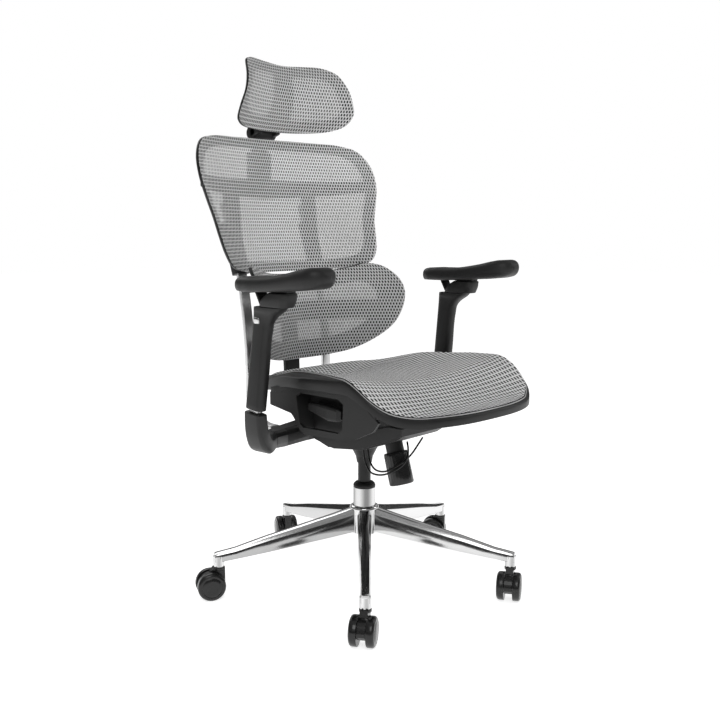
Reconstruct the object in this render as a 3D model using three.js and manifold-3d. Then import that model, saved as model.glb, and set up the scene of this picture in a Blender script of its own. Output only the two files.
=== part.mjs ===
// Swivel office chair with a stretched-mesh seat, split mesh back, headrest, height-adjustable arms and a
// polished five-arm castor base. Millimetres, +Z up. The chair faces -Y; its right-hand side is -X.
import * as THREE from "three";
import { mergeVertices } from "three/addons/utils/BufferGeometryUtils.js";
import Module from "manifold-3d";

const wasm = await Module();
wasm.setup();

// ---------------------------------------------------------------- driving dimensions
const GAP = 0.3; // clearance between pieces that meet
const ARMS_OF_STAR = 5;
const STEM_CIRCLE = 325; // radius of the circle of castor stems
const STAR_TURN = -136.3; // direction of the first star arm, degrees from +X
const STEM_FOOT = 85; // height of the underside of a star arm's castor boss
const CASTOR_HEIGHT = 68; // from the floor to that underside
const WHEEL_R = 30;
const WHEEL_SIDES = 24;
const WHEEL_W = 18;
const WHEEL_GAP = 18; // space between the twin wheels
const CASTOR_TRAIL = 18;
const CASTOR_TURNS = [-148.5, -151.4, 118, 60, 151.6]; // where each castor trails at rest, degrees from +X
const HUB_TOP = 190;
const HUB_FOOT = 130;
const CYLINDER_TOP = 231;
const BACK_LEAN = 0.285; // back's rearward travel per unit of height
const ARM_X = 290; // armrests' distance from the middle
const ARM_LEAN = -0.12; // arm posts' forward travel per unit of height
const ARM_TOE = -0.03; // arm posts' outward travel per unit of height

// ---------------------------------------------------------------- finishes
const finish = (color, roughness, metalness = 0) =>
  new THREE.MeshStandardMaterial({ color, roughness, metalness });
const polishedAluminium = finish(0xd8d8d8, 0.12, 1);
const steel = finish(0x9a9a9a, 0.35, 1);
const blackPaint = finish(0x1c1c1c, 0.4, 0.3);
const blackPlastic = finish(0x222222, 0.55);
const castorNylon = finish(0x202020, 0.45);
const softPad = finish(0x1e1e1e, 0.6);
const greyMesh = finish(0xa9a9a9, 0.9);

// ---------------------------------------------------------------- geometry helpers
const deg = THREE.MathUtils.degToRad;
const smooth = THREE.MathUtils.smoothstep;

// Turns a closed geometry the right way out, whichever way its rings ran.
function outward(geometry) {
  const p = geometry.getAttribute("position");
  const index = geometry.index.array;
  const [a, b, c] = [0, 1, 2].map(() => new THREE.Vector3());
  let volume = 0;
  for (let i = 0; i < index.length; i += 3) {
    a.fromBufferAttribute(p, index[i]);
    b.fromBufferAttribute(p, index[i + 1]);
    c.fromBufferAttribute(p, index[i + 2]);
    volume += a.dot(b.cross(c));
  }
  if (volume < 0) {
    for (let i = 0; i < index.length; i += 3) {
      [index[i + 1], index[i + 2]] = [index[i + 2], index[i + 1]];
    }
  }
  return geometry;
}

// Closed solid through rings of points; looped joins the last ring to the first, or else the ends are capped.
function loft(rings, looped = false) {
  const n = rings[0].length;
  const count = rings.length;
  const index = [];
  for (let i = 0; i < (looped ? count : count - 1); i++) {
    for (let j = 0; j < n; j++) {
      const a = i * n + j;
      const b = i * n + ((j + 1) % n);
      const c = ((i + 1) % count) * n + ((j + 1) % n);
      const d = ((i + 1) % count) * n + j;
      index.push(a, b, c, a, c, d);
    }
  }
  if (!looped) {
    const last = (count - 1) * n;
    for (let j = 1; j < n - 1; j++) {
      index.push(0, j + 1, j, last, last + j, last + j + 1);
    }
  }
  const geometry = new THREE.BufferGeometry();
  geometry.setAttribute("position", new THREE.Float32BufferAttribute(rings.flat(2), 3));
  geometry.setIndex(index);
  return outward(geometry);
}

// Rounded rectangle as a ring of [u, v] points, with a corner of three points.
function roundedRing(w, h, r) {
  const ring = [];
  const corners = [
    [w / 2 - r, h / 2 - r, 0],
    [-w / 2 + r, h / 2 - r, 90],
    [-w / 2 + r, -h / 2 + r, 180],
    [w / 2 - r, -h / 2 + r, 270],
  ];
  for (const [cu, cv, start] of corners) {
    for (const turn of [0, 45, 90]) {
      const t = deg(start + turn);
      ring.push([cu + r * Math.cos(t), cv + r * Math.sin(t)]);
    }
  }
  return ring;
}

// Bar along a list of stations {at: [x, y, z], w, h, r, side, up}: w lies along side and h along up.
function bar(stations) {
  return loft(
    stations.map(({ at, w, h, r = Math.min(w, h) * 0.3, side, up }) => {
      const s = new THREE.Vector3(...side).normalize();
      const u = new THREE.Vector3(...up).normalize();
      return roundedRing(w, h, r).map(([a, b]) => [
        at[0] + a * s.x + b * u.x,
        at[1] + a * s.y + b * u.y,
        at[2] + a * s.z + b * u.z,
      ]);
    }),
  );
}

// Solid of revolution about +Z. The profile's [radius, height] pairs start and end on the axis, or close.
function turned(profile, sides = 32) {
  const points = profile.map(([r, z]) => new THREE.Vector2(r, z));
  return outward(new THREE.LatheGeometry(points, sides).rotateX(Math.PI / 2));
}

const box = (x0, x1, y0, y1, z0, z1) =>
  new THREE.BoxGeometry(x1 - x0, y1 - y0, z1 - z0).translate((x0 + x1) / 2, (y0 + y1) / 2, (z0 + z1) / 2);

// Cylinder along the X axis, centred on [x, y, z].
const rod = (r, length, x, y, z, sides = 20) =>
  new THREE.CylinderGeometry(r, r, length, sides).rotateZ(Math.PI / 2).translate(x, y, z);

// Plate of constant X thickness from an outline of [y, z] points.
function sidePlate(outline, x0, x1) {
  const shape = new THREE.Shape(outline.map(([y, z]) => new THREE.Vector2(y, z)));
  const geometry = new THREE.ExtrudeGeometry(shape, { depth: x1 - x0, bevelEnabled: false });
  const turn = new THREE.Matrix4().set(0, 0, 1, x0, 1, 0, 0, 0, 0, 1, 0, 0, 0, 0, 0, 1);
  return geometry.applyMatrix4(turn);
}

// A shape as a manifold solid, for cutting and joining.
function solid(geometry) {
  if (geometry instanceof wasm.Manifold) return geometry;
  const bare = geometry.index ? geometry.toNonIndexed() : geometry.clone();
  bare.deleteAttribute("normal");
  bare.deleteAttribute("uv");
  const merged = outward(mergeVertices(bare, 1e-3));
  return new wasm.Manifold(
    new wasm.Mesh({
      numProp: 3,
      vertProperties: new Float32Array(merged.getAttribute("position").array),
      triVerts: new Uint32Array(merged.index.array),
    }),
  );
}

function geometryOf(manifold) {
  const m = manifold.getMesh();
  const geometry = new THREE.BufferGeometry();
  geometry.setAttribute("position", new THREE.BufferAttribute(m.vertProperties, 3));
  geometry.setIndex(new THREE.BufferAttribute(m.triVerts, 1));
  geometry.computeVertexNormals();
  return geometry;
}

const joined = (...shapes) => shapes.map(solid).reduce((whole, next) => whole.add(next));
const cut = (shape, ...tools) => tools.map(solid).reduce((whole, next) => whole.subtract(next), solid(shape));
const mirroredX = (shape) => solid(shape).mirror([1, 0, 0]);

const chair = new THREE.Group();
const assembly = new THREE.Group();
chair.add(assembly);

function add(name, shape, material, parent = assembly) {
  const geometry = shape instanceof wasm.Manifold ? geometryOf(shape) : shape;
  const mesh = new THREE.Mesh(geometry, material);
  mesh.name = name;
  parent.add(mesh);
  return mesh;
}

// ---------------------------------------------------------------- five-arm base
const HUB_R = 32;
const CYLINDER_R = 24.5;
const TAPER_R = 19; // cylinder's radius at the foot of the hub
const TAPER_FOOT = 134;
const TAPER_TOP = 150;
const CYLINDER_FOOT = 127;
const PISTON_R = 14;
const PISTON_FOOT = 168;
const MECHANISM_FOOT = 286;
const STEM_R = 5.5;
const STEM_DEPTH = 21; // how far a castor's stem goes into its boss
const BOSS_R = 11.5;

// Star arm's half outline at one radius: a roof with chamfered shoulders.
function armRing(radius, z0, z1, foot, top) {
  const chamfer = 0.22 * (z1 - z0);
  return [
    [radius, -foot / 2, z0],
    [radius, foot / 2, z0],
    [radius, foot / 2, z1 - chamfer],
    [radius, top / 2, z1],
    [radius, -top / 2, z1],
    [radius, -foot / 2, z1 - chamfer],
  ];
}

function starBase() {
  const armTip = STEM_CIRCLE + 9;
  const arm = solid(
    loft([
      armRing(12, 135, 187, 31, 20),
      armRing(70, 127, 174, 28, 18),
      armRing(220, 107, 139.5, 24, 16),
      armRing(armTip, 95, 114, 20, 14),
    ]),
  );
  const underside = solid(
    loft([
      armRing(50, 100, 168, 19, 14),
      armRing(220, 90, 132, 16.5, 12),
      armRing(STEM_CIRCLE - 20, 84, 112, 14, 10),
    ]),
  );
  const boss = solid(
    turned([[0, STEM_FOOT], [BOSS_R, STEM_FOOT], [BOSS_R, 112], [8, 116], [0, 116]], 16)
      .translate(STEM_CIRCLE, 0, 0),
  );
  const socket = solid(
    turned([
      [0, -STEM_FOOT],
      [STEM_R + GAP, -STEM_FOOT],
      [STEM_R + GAP, STEM_DEPTH + GAP],
      [0, STEM_DEPTH + GAP],
    ], 12)
      .translate(STEM_CIRCLE, 0, STEM_FOOT),
  );
  const oneArm = arm.subtract(underside).add(boss).subtract(socket);
  const hub = [[0, HUB_FOOT], [HUB_R, HUB_FOOT], [HUB_R, HUB_TOP - 5], [HUB_R - 4, HUB_TOP], [0, HUB_TOP]];
  let star = solid(turned(hub, 32));
  for (let k = 0; k < ARMS_OF_STAR; k++) {
    star = star.add(oneArm.rotate([0, 0, STAR_TURN + (360 / ARMS_OF_STAR) * k]));
  }
  const bore = solid(
    turned([
      [0, HUB_FOOT - 20],
      [TAPER_R + GAP, HUB_FOOT - 20],
      [TAPER_R + GAP, TAPER_FOOT],
      [CYLINDER_R + GAP, TAPER_TOP],
      [CYLINDER_R + GAP, HUB_TOP + 20],
      [0, HUB_TOP + 20],
    ], 32),
  );
  return star.subtract(bore);
}

function gasCylinder() {
  const bore = PISTON_R + 1;
  const floor = CYLINDER_FOOT + 4;
  return turned([
    [0, CYLINDER_FOOT],
    [TAPER_R - 1.5, CYLINDER_FOOT],
    [TAPER_R, CYLINDER_FOOT + 1.5],
    [TAPER_R, TAPER_FOOT],
    [CYLINDER_R, TAPER_TOP],
    [CYLINDER_R, CYLINDER_TOP],
    [bore, CYLINDER_TOP],
    [bore, floor],
    [0, floor],
  ], 32);
}

function cylinderCollar() {
  const z = CYLINDER_TOP + GAP;
  const inner = PISTON_R + 0.5;
  return turned([
    [inner, z],
    [CYLINDER_R - 0.5, z],
    [CYLINDER_R, z + 3],
    [CYLINDER_R - 1.5, z + 7],
    [CYLINDER_R - 5, z + 10.5],
    [inner + 1, z + 12],
    [inner, z + 12],
    [inner, z],
  ], 32);
}

function gasPiston() {
  return turned([
    [0, PISTON_FOOT],
    [PISTON_R, PISTON_FOOT],
    [PISTON_R, 318],
    [PISTON_R - 2, 352],
    [0, 352],
  ], 32);
}

// ---------------------------------------------------------------- castors
const AXLE_Z = WHEEL_R * Math.cos(Math.PI / WHEEL_SIDES); // a flat of the faceted tread lies on the floor
const AXLE_R = 4;

// The castor is drawn from the floor up about its stem, trailing along +X, with its axle along Y.
function castorHood() {
  const half = WHEEL_GAP / 2 - 1;
  const top = CASTOR_HEIGHT - 0.5;
  const outline = new THREE.Shape();
  outline.moveTo(-12, top);
  outline.lineTo(-12, 28);
  outline.lineTo(-6, 23);
  outline.lineTo(CASTOR_TRAIL, 16);
  outline.lineTo(CASTOR_TRAIL + 20, 20);
  outline.absarc(CASTOR_TRAIL, AXLE_Z, 27, deg(-5), deg(85), false);
  outline.lineTo(12, top);
  outline.closePath();
  const web = new THREE.ExtrudeGeometry(outline, { depth: 2 * half, bevelEnabled: false, curveSegments: 6 })
    .rotateX(Math.PI / 2)
    .translate(0, half, 0);
  const housing = turned([[0, 60.4], [11, 60.4], [12.5, 62], [12.5, top - 1], [11.5, top], [0, top]], 16);
  const axle = new THREE.CylinderGeometry(AXLE_R, AXLE_R, WHEEL_GAP + 24, 12).translate(CASTOR_TRAIL, 0, AXLE_Z);
  const bore = STEM_R + GAP;
  const socket = turned([[0, STEM_START - GAP], [bore, STEM_START - GAP], [bore, top + 10], [0, top + 10]], 12);
  return cut(joined(web, housing, axle), socket);
}

const STEM_START = 54; // foot of the stem inside the hood
function castorStem() {
  const top = CASTOR_HEIGHT + STEM_DEPTH;
  return turned([[0, STEM_START], [STEM_R, STEM_START], [STEM_R, top - 1.5], [STEM_R - 1.5, top], [0, top]], 12);
}

// Wheel about Y with its blind bore facing -Y, for the wheel on the +Y side of the hood.
function castorWheel() {
  const bore = AXLE_R + GAP;
  const profile = [
    [0, WHEEL_W],
    [WHEEL_R - 5, WHEEL_W - 2],
    [WHEEL_R, WHEEL_W - 7],
    [WHEEL_R, 0],
    [bore, 0],
    [bore, 12.5],
    [0, 12.5],
  ];
  const points = profile.map(([r, y]) => new THREE.Vector2(r, y));
  return outward(new THREE.LatheGeometry(points, WHEEL_SIDES)).rotateY(Math.PI / WHEEL_SIDES);
}

function buildCastors() {
  for (let k = 0; k < ARMS_OF_STAR; k++) {
    const direction = deg(STAR_TURN + (360 / ARMS_OF_STAR) * k);
    const castor = new THREE.Group();
    castor.position.set(
      STEM_CIRCLE * Math.cos(direction),
      STEM_CIRCLE * Math.sin(direction),
      STEM_FOOT - CASTOR_HEIGHT,
    );
    castor.rotation.z = deg(CASTOR_TURNS[k]);
    assembly.add(castor);
    add(`castor_hood_${k + 1}`, castorHood(), castorNylon, castor);
    add(`castor_stem_${k + 1}`, castorStem(), steel, castor);
    for (const [side, sign] of [["left", 1], ["right", -1]]) {
      const wheel = castorWheel();
      if (sign < 0) wheel.rotateX(Math.PI);
      wheel.translate(CASTOR_TRAIL, (sign * WHEEL_GAP) / 2, AXLE_Z);
      add(`castor_wheel_${side}_${k + 1}`, wheel, castorNylon, castor);
    }
  }
}

// ---------------------------------------------------------------- tilt mechanism
const RECLINE_PIVOT = [60, 366]; // [y, z] of the back's pivot
const SEAT_PIVOT = [-105, 385]; // [y, z] of the seat's pivot
const PIVOT_R = 7;
const HOUSING_HALF_W = 66;
const HOUSING_FRONT = -168;
const KNOB_TOP = [0, -88, 333];
const KNOB_TILT = 16; // degrees forward of straight down

function mechanismHousing() {
  const body = sidePlate(
    [
      [HOUSING_FRONT, 378], [-150, 366], [-60, 333], [30, 322], [88, 334],
      [88, 374], [60, 378], [30, 383], [-40, 393], [-84, 398], [HOUSING_FRONT, 398],
    ],
    -HOUSING_HALF_W, HOUSING_HALF_W,
  );
  const neck = turned([[0, MECHANISM_FOOT], [16.5, MECHANISM_FOOT], [19, 300], [27, 316], [40, 334], [0, 334]], 28);
  const springTube = new THREE.CylinderGeometry(19, 19, 62, 24)
    .rotateX(Math.PI / 2)
    .rotateX(deg(-KNOB_TILT))
    .translate(0, KNOB_TOP[1] + 3, KNOB_TOP[2] + 12);
  const pistonSocket = turned([
    [0, 270],
    [PISTON_R + GAP, 270],
    [PISTON_R + GAP, 318],
    [PISTON_R - 2 + GAP, 352 + GAP],
    [0, 352 + GAP],
  ], 32);
  const axleHole = rod(PIVOT_R + GAP, 140, 0, ...RECLINE_PIVOT);
  const reclineSlot = box(-50, 50, 40, 100, 310, 410);
  const seatSlot = box(-59, 59, -126, -84, 372, 420);
  const seatPin = rod(PIVOT_R, 124, 0, ...SEAT_PIVOT);
  return joined(cut(joined(body, neck, springTube), pistonSocket, axleHole, reclineSlot, seatSlot), seatPin);
}

// Thin plastic tray clipped to both sides of the housing.
function mechanismCover() {
  const inner = HOUSING_HALF_W + GAP;
  const outer = inner + 10;
  const front = HOUSING_FRONT - GAP - 6;
  const outline = [[front, 380], [-60, 336], [35, 326], [84, 341], [84, 350], [-20, 362], [-140, 395], [front, 395]];
  const bridge = box(-outer, outer, front, HOUSING_FRONT - GAP, 380, 395);
  return joined(sidePlate(outline, -outer, -inner), sidePlate(outline, inner, outer), bridge);
}

function tensionKnob() {
  const profile = [[0, -80], [24, -80], [26.5, -77], [26, -14], [24, -10], [20.5, -10], [20.5, -38], [0, -38]];
  return turned(profile, 28)
    .rotateX(deg(-KNOB_TILT))
    .translate(...KNOB_TOP);
}

// Sheathed control cable: a round section swept along a smooth route.
function cable(points, radius = 2) {
  const curve = new THREE.CatmullRomCurve3(points.map((p) => new THREE.Vector3(...p)));
  const section = new THREE.Shape().absarc(0, 0, radius, 0, 2 * Math.PI, false);
  const steps = Math.ceil(curve.getLength() / (6 * radius));
  return new THREE.ExtrudeGeometry(section, { steps, extrudePath: curve, curveSegments: 4 });
}

const FRONT_CABLE = [
  [38, -134, 355], [23, -134, 342], [2, -132, 323], [-18, -127, 310], [-31, -114, 298],
  [-40, -100, 290], [-41, -81, 287], [-37, -63, 289], [-32, -46, 302], [-27, -36, 325],
];
const REAR_CABLE = [
  [10, -115, 347], [0, -126, 337], [-12, -135, 322], [-25, -133, 306], [-38, -118, 292],
  [-48, -100, 284], [-49, -78, 281], [-43, -56, 283], [-38, -39, 298], [-34, -29, 324],
];

// ---------------------------------------------------------------- seat
const CARRIAGE_Z = 404;
const SKIN = 3; // thickness of the woven sheets
const SKIN_GAP = 0.7; // clearance between a woven sheet and its frame

// Height of the seat's edge along its depth: dropping at the back, then level, then a waterfall front.
const seatEdgeZ = (y) => 453 + 66 * smooth(y, -308, -172) - 0.05 * Math.max(0, y + 120) - 20 * smooth(y, -20, 130);
// Half outlines in plan, from the front centre to the rear centre: the woven seat, and its wider rim below.
const SEAT_PLAN = [
  [0, -336], [80, -331], [140, -314], [185, -290], [220, -267], [238, -241], [243, -215], [242, -185],
  [236, -155], [226, -118], [208, -63], [195, 0], [183, 50], [165, 100], [138, 136], [80, 150], [0, 152],
];
const RIM_PLAN = [
  [0, -343], [86, -338], [148, -321], [193, -296], [226, -270], [242, -242], [248, -213], [249, -180],
  [249, -145], [247, -100], [243, -50], [235, 0], [225, 40], [205, 93], [175, 134], [130, 155], [70, 162], [0, 164],
];
// How far the woven seat sags below its edge.
function seatSag(x, y) {
  const halfWidth = 243 - 0.27 * Math.max(0, y + 190);
  const across = Math.max(0, 1 - (x / halfWidth) ** 2);
  return 24 * across * smooth(y, -330, -180) * (1 - smooth(y, 60, 152));
}

// Closed outline from one half: its points and their mirror images, evenly spaced on a smooth curve.
function closedOutline(half, count) {
  const mirror = half.slice(1, -1).reverse().map(([u, v]) => [-u, v]);
  const points = [...half, ...mirror].map(([u, v]) => new THREE.Vector3(u, v, 0));
  const curve = new THREE.CatmullRomCurve3(points, true, "centripetal");
  return curve.getSpacedPoints(count).slice(0, count).map((p) => [p.x, p.y]);
}

// Outline scaled towards its middle so that it loses about the given margin all round.
function inset(outline, margin) {
  const us = outline.map((p) => p[0]);
  const vs = outline.map((p) => p[1]);
  const [cu, cv] = [(Math.min(...us) + Math.max(...us)) / 2, (Math.min(...vs) + Math.max(...vs)) / 2];
  const [hu, hv] = [(Math.max(...us) - Math.min(...us)) / 2, (Math.max(...vs) - Math.min(...vs)) / 2];
  return outline.map(([u, v]) => [cu + (u - cu) * (1 - margin / hu), cv + (v - cv) * (1 - margin / hv)]);
}

// Curved sheet inside an outline: front(u, v) and back(u, v) give its two faces. Its rings lie in from the edge
// by the given margins, the last of them the band of the frame behind it, so that the two match.
function sheet(outline, margins, front, back) {
  const loops = [...margins.map((m) => inset(outline, m)), outline];
  const faceRings = loops.map((loop) => loop.map((p) => front(...p)));
  const rings = [...faceRings, ...loops.reverse().map((loop) => loop.map((p) => back(...p)))];
  const n = outline.length;
  const index = [];
  for (let i = 0; i < rings.length - 1; i++) {
    for (let j = 0; j < n; j++) {
      const k = (j + 1) % n;
      index.push(i * n + j, i * n + k, (i + 1) * n + k, i * n + j, (i + 1) * n + k, (i + 1) * n + j);
    }
  }
  const us = outline.map((p) => p[0]);
  const vs = outline.map((p) => p[1]);
  const centre = [(Math.min(...us) + Math.max(...us)) / 2, (Math.min(...vs) + Math.max(...vs)) / 2];
  const hubs = rings.length * n;
  const last = (rings.length - 1) * n;
  for (let j = 0; j < n; j++) {
    const k = (j + 1) % n;
    index.push(hubs, k, j, hubs + 1, last + j, last + k);
  }
  const points = [...rings.flat(), front(...centre), back(...centre)];
  const geometry = new THREE.BufferGeometry();
  geometry.setAttribute("position", new THREE.Float32BufferAttribute(points.flat(), 3));
  geometry.setIndex(index);
  return outward(geometry);
}

// Frame around an outline: at each point a bar section from there inwards by band, in place(u, v, depth).
function frameLoop(outline, band, depth, place) {
  const inner = inset(outline, band);
  const rings = outline.map(([u, v], i) => {
    const [iu, iv] = inner[i];
    const across = (s) => [u + (iu - u) * s, v + (iv - v) * s];
    return [
      place(...across(0), 0),
      place(...across(1), 0),
      place(...across(1), 0.6 * depth),
      place(...across(0.75), depth),
      place(...across(0.2), depth),
      place(...across(0), 0.7 * depth),
    ];
  });
  return loft(rings, true);
}

const RIM_BAND = 20; // width of the rim under the woven seat
const RIM_DEPTH = 24;
const RIM_SHOULDER = 9; // from the seat's edge down to the rim's widest line
const rimFoot = (y) => seatEdgeZ(y) - 22 - 8 * smooth(y, -260, -150); // height of the rim's foot
const seatZ = (x, y) => seatEdgeZ(y) - seatSag(x, y);

function seatMesh() {
  const underside = (x, y) => [x, y, seatZ(x, y) - SKIN];
  return sheet(closedOutline(SEAT_PLAN, 40), [160, 100, 50, RIM_BAND], (x, y) => [x, y, seatZ(x, y)], underside);
}

// Perimeter rim: its top follows the woven seat's edge, and its side flares out and down from there.
function seatRim() {
  const crest = closedOutline(SEAT_PLAN, 40);
  const inner = inset(crest, RIM_BAND);
  const middle = inset(crest, 0.75 * RIM_BAND);
  const outer = closedOutline(RIM_PLAN, 40);
  const under = ([x, y], drop) => [x, y, seatZ(x, y) - SKIN - SKIN_GAP - drop];
  const rings = crest.map((point, i) => [
    under(point, 0),
    under(inner[i], 0),
    under(inner[i], 0.6 * RIM_DEPTH),
    under(middle[i], RIM_DEPTH),
    [...outer[i], rimFoot(outer[i][1])],
    [...outer[i], seatEdgeZ(outer[i][1]) - RIM_SHOULDER],
  ]);
  return loft(rings, true);
}

// Underseat moulding: two deep side skirts with a hand recess, tied together by a pan.
function seatShell() {
  const skirtTop = (y) => [y, Math.min(rimFoot(y), seatEdgeZ(y) - SKIN - RIM_DEPTH) - 7];
  const skirt = [
    [44, 440], [-18, 430], [-30, 420], [-44, 399], [-62, 392], [-150, 396], [-196, 404],
    [-240, 424], ...[-254, -240, -225, -210, -190, -170, -120, -40, 44].map(skirtTop),
  ];
  const recess = [[-34, 466], [-44, 412], [-54, 406], [-150, 408], [-161, 416], [-164, 466], [-150, 474], [-45, 474]];
  const near = cut(sidePlate(skirt, -232, -226), sidePlate(recess, -240, -220));
  const pocket = cut(
    sidePlate([[-28, 480], [-44, 398], [-160, 398], [-172, 412], [-172, 480]], -226.5, -188),
    sidePlate([[-32, 474], [-47, 385], [-154, 385], [-167, 412], [-167, 474]], -240, -192),
  );
  const rightSide = joined(near, pocket);
  const leftSide = mirroredX(rightSide);
  const pan = box(-190, 190, -150, 20, 418, 424);
  const ribs = [-190, 184].map((x) => box(x, x + 6, -150, 20, 420, 462));
  const guides = [-97, 91].map((x) => box(x, x + 6, -150, 20, CARRIAGE_Z - 2, 422));
  return cut(joined(rightSide, leftSide, pan, ...ribs, ...guides), rod(4 + GAP, 500, 0, -62, LEVER_Z, 16));
}

// Tilting carriage: a plate with two lugs on the seat pivot and rails that the seat slides on.
function seatCarriage() {
  const plate = box(-90, 90, -140, 60, CARRIAGE_Z, CARRIAGE_Z + 7);
  const lugs = [-56, 42].map((x) => box(x, x + 14, -116, -94, 379, CARRIAGE_Z + 2));
  const rails = [-88, 74].map((x) => box(x, x + 14, -130, 40, CARRIAGE_Z + 5, 418 - GAP));
  return cut(joined(plate, ...lugs, ...rails), rod(PIVOT_R + GAP, 130, 0, ...SEAT_PIVOT));
}

// Paddle lever in the hand recess, on a short spindle through the recess's inner wall.
const LEVER_Z = 446;
function seatLever() {
  const spindle = rod(4, 26, -198, -62, LEVER_Z, 14);
  const paddle = bar([
    { at: [-212, -54, LEVER_Z], w: 12, h: 16, side: [1, 0, 0], up: [0, 0, 1] },
    { at: [-213, -80, LEVER_Z - 2], w: 16, h: 24, side: [1, 0, 0], up: [0, 0, 1] },
    { at: [-216, -112, LEVER_Z - 5], w: 20, h: 30, side: [1, 0, 0], up: [0, 0, 1] },
    { at: [-216, -138, LEVER_Z - 6], w: 18, h: 26, side: [1, 0, 0], up: [0, 0, 1] },
    { at: [-215, -146, LEVER_Z - 6], w: 10, h: 16, side: [1, 0, 0], up: [0, 0, 1] },
  ]);
  return joined(spindle, paddle);
}

// ---------------------------------------------------------------- back structure
const LUMBAR_PIVOT = [240, 604];
const YOKE_END = { x: 205, y: 75, z: 358 }; // where an arm's elbow meets the yoke

// Yoke under the rear of the seat: a bridge on the recline axle that carries the arms, uprights and spine.
function backYoke() {
  const [py, pz] = RECLINE_PIVOT;
  const { x, y, z } = YOKE_END;
  const lug = [
    [py - 16, pz + 8], [py - 16, pz - 8], [py + 2, pz - 18], [py + 70, 342], [py + 70, 366], [py + 6, pz + 16],
  ];
  const lugs = [-46, 32].map((x0) => sidePlate(lug, x0, x0 + 14));
  const bridge = bar([
    { at: [-x, y, z], w: 44, h: 36, side: [0, 1, 0], up: [0, 0, 1] },
    { at: [-150, 108, 350], w: 52, h: 40, side: [0, 1, 0], up: [0, 0, 1] },
    { at: [-70, 130, 348], w: 58, h: 42, side: [0, 1, 0], up: [0, 0, 1] },
    { at: [70, 130, 348], w: 58, h: 42, side: [0, 1, 0], up: [0, 0, 1] },
    { at: [150, 108, 350], w: 52, h: 40, side: [0, 1, 0], up: [0, 0, 1] },
    { at: [x, y, z], w: 44, h: 36, side: [0, 1, 0], up: [0, 0, 1] },
  ]);
  return cut(joined(bridge, ...lugs), rod(PIVOT_R + GAP, 120, 0, py, pz));
}

const reclineAxle = () => rod(PIVOT_R, 124, 0, ...RECLINE_PIVOT, 24);

// Polished upright: from the yoke, back and up behind the lumbar pad to the upper back.
const UPRIGHT_X = 118;
const UPRIGHT_W = 26;
const UPRIGHT_T = 10;
const SLIDE_LEAN = deg(18.5); // the uprights' straight top, along which the upper back is raised
const slideAt = (z) => 275 + (z - 712) * Math.tan(SLIDE_LEAN); // y of that straight top

function upright() {
  const station = (y, z, along, w = UPRIGHT_W, h = UPRIGHT_T) => ({
    at: [UPRIGHT_X, y, z], w, h, side: [1, 0, 0], up: [0, Math.cos(deg(along)), -Math.sin(deg(along))],
  });
  return bar([
    station(161, 352, 80, UPRIGHT_W, 20),
    station(197, 358, 66, UPRIGHT_W, 14),
    station(228, 382, 32),
    station(240, 420, 7),
    station(241, 480, 0),
    station(244, 545, 5),
    station(251, 605, 9),
    station(slideAt(684), 684, 18.5),
    station(slideAt(850), 850, 18.5),
  ]);
}

// Black spine in the middle: the rail that the lumbar pad and the back's height ratchet run on.
function spine() {
  const station = (y, z, along, w = 44, h = 12) => ({
    at: [0, y, z], w, h, side: [1, 0, 0], up: [0, Math.cos(deg(along)), -Math.sin(deg(along))],
  });
  const block = box(-30, 30, LUMBAR_PIVOT[0] - 8, LUMBAR_PIVOT[0] + 12, LUMBAR_PIVOT[1] - 9, LUMBAR_PIVOT[1] + 9);
  const rail = bar([
    station(161, 352, 80, 44, 24),
    station(198, 360, 64, 44, 18),
    station(222, 386, 32),
    station(232, 430, 8),
    station(235, 500, 3),
    station(241, 570, 7),
    station(249, 630, 12),
    station(261, 684, 14),
  ]);
  const tie = UPRIGHT_X - UPRIGHT_W / 2 - GAP;
  const tieEnd = (x) => ({ at: [x, 257, 660], w: 20, h: 11, side: [0, 0.25, 0.97], up: [0, 0.97, -0.25] });
  const crossTie = bar([tieEnd(-tie), tieEnd(tie)]);
  return joined(rail, block, crossTie, rod(5, 86, 0, ...LUMBAR_PIVOT, 16));
}

// ---------------------------------------------------------------- upper back
function backY(x, z) {
  const bow = 0.0016 - 0.0000023 * (z - 700);
  return 240 + 0.33 * (z - 697) - 0.00043 * (z - 697) ** 2 - bow * x * x;
}
const UPPER_BACK = {
  half: [
    [0, 996], [110, 995], [192, 991], [236, 978], [260, 944], [265, 900], [255, 855], [243, 815],
    [236, 771], [229, 741], [212, 715], [168, 702], [90, 697], [0, 696],
  ],
  points: 40, face: backY, band: 22, depth: 10, margins: [110, 60],
};
// Mesh sheet over a frame: both follow face(x, z), the mesh in front and the frame behind it.
function panelMesh({ half, points, face, band, margins }) {
  const back = (x, z) => [x, face(x, z) + SKIN, z];
  return sheet(closedOutline(half, points), [...margins, band], (x, z) => [x, face(x, z), z], back);
}
function panelFrame({ half, points, face, band, depth }) {
  const place = (x, z, d) => [x, face(x, z) + SKIN + SKIN_GAP + d, z];
  return frameLoop(closedOutline(half, points), band, depth, place);
}

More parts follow.
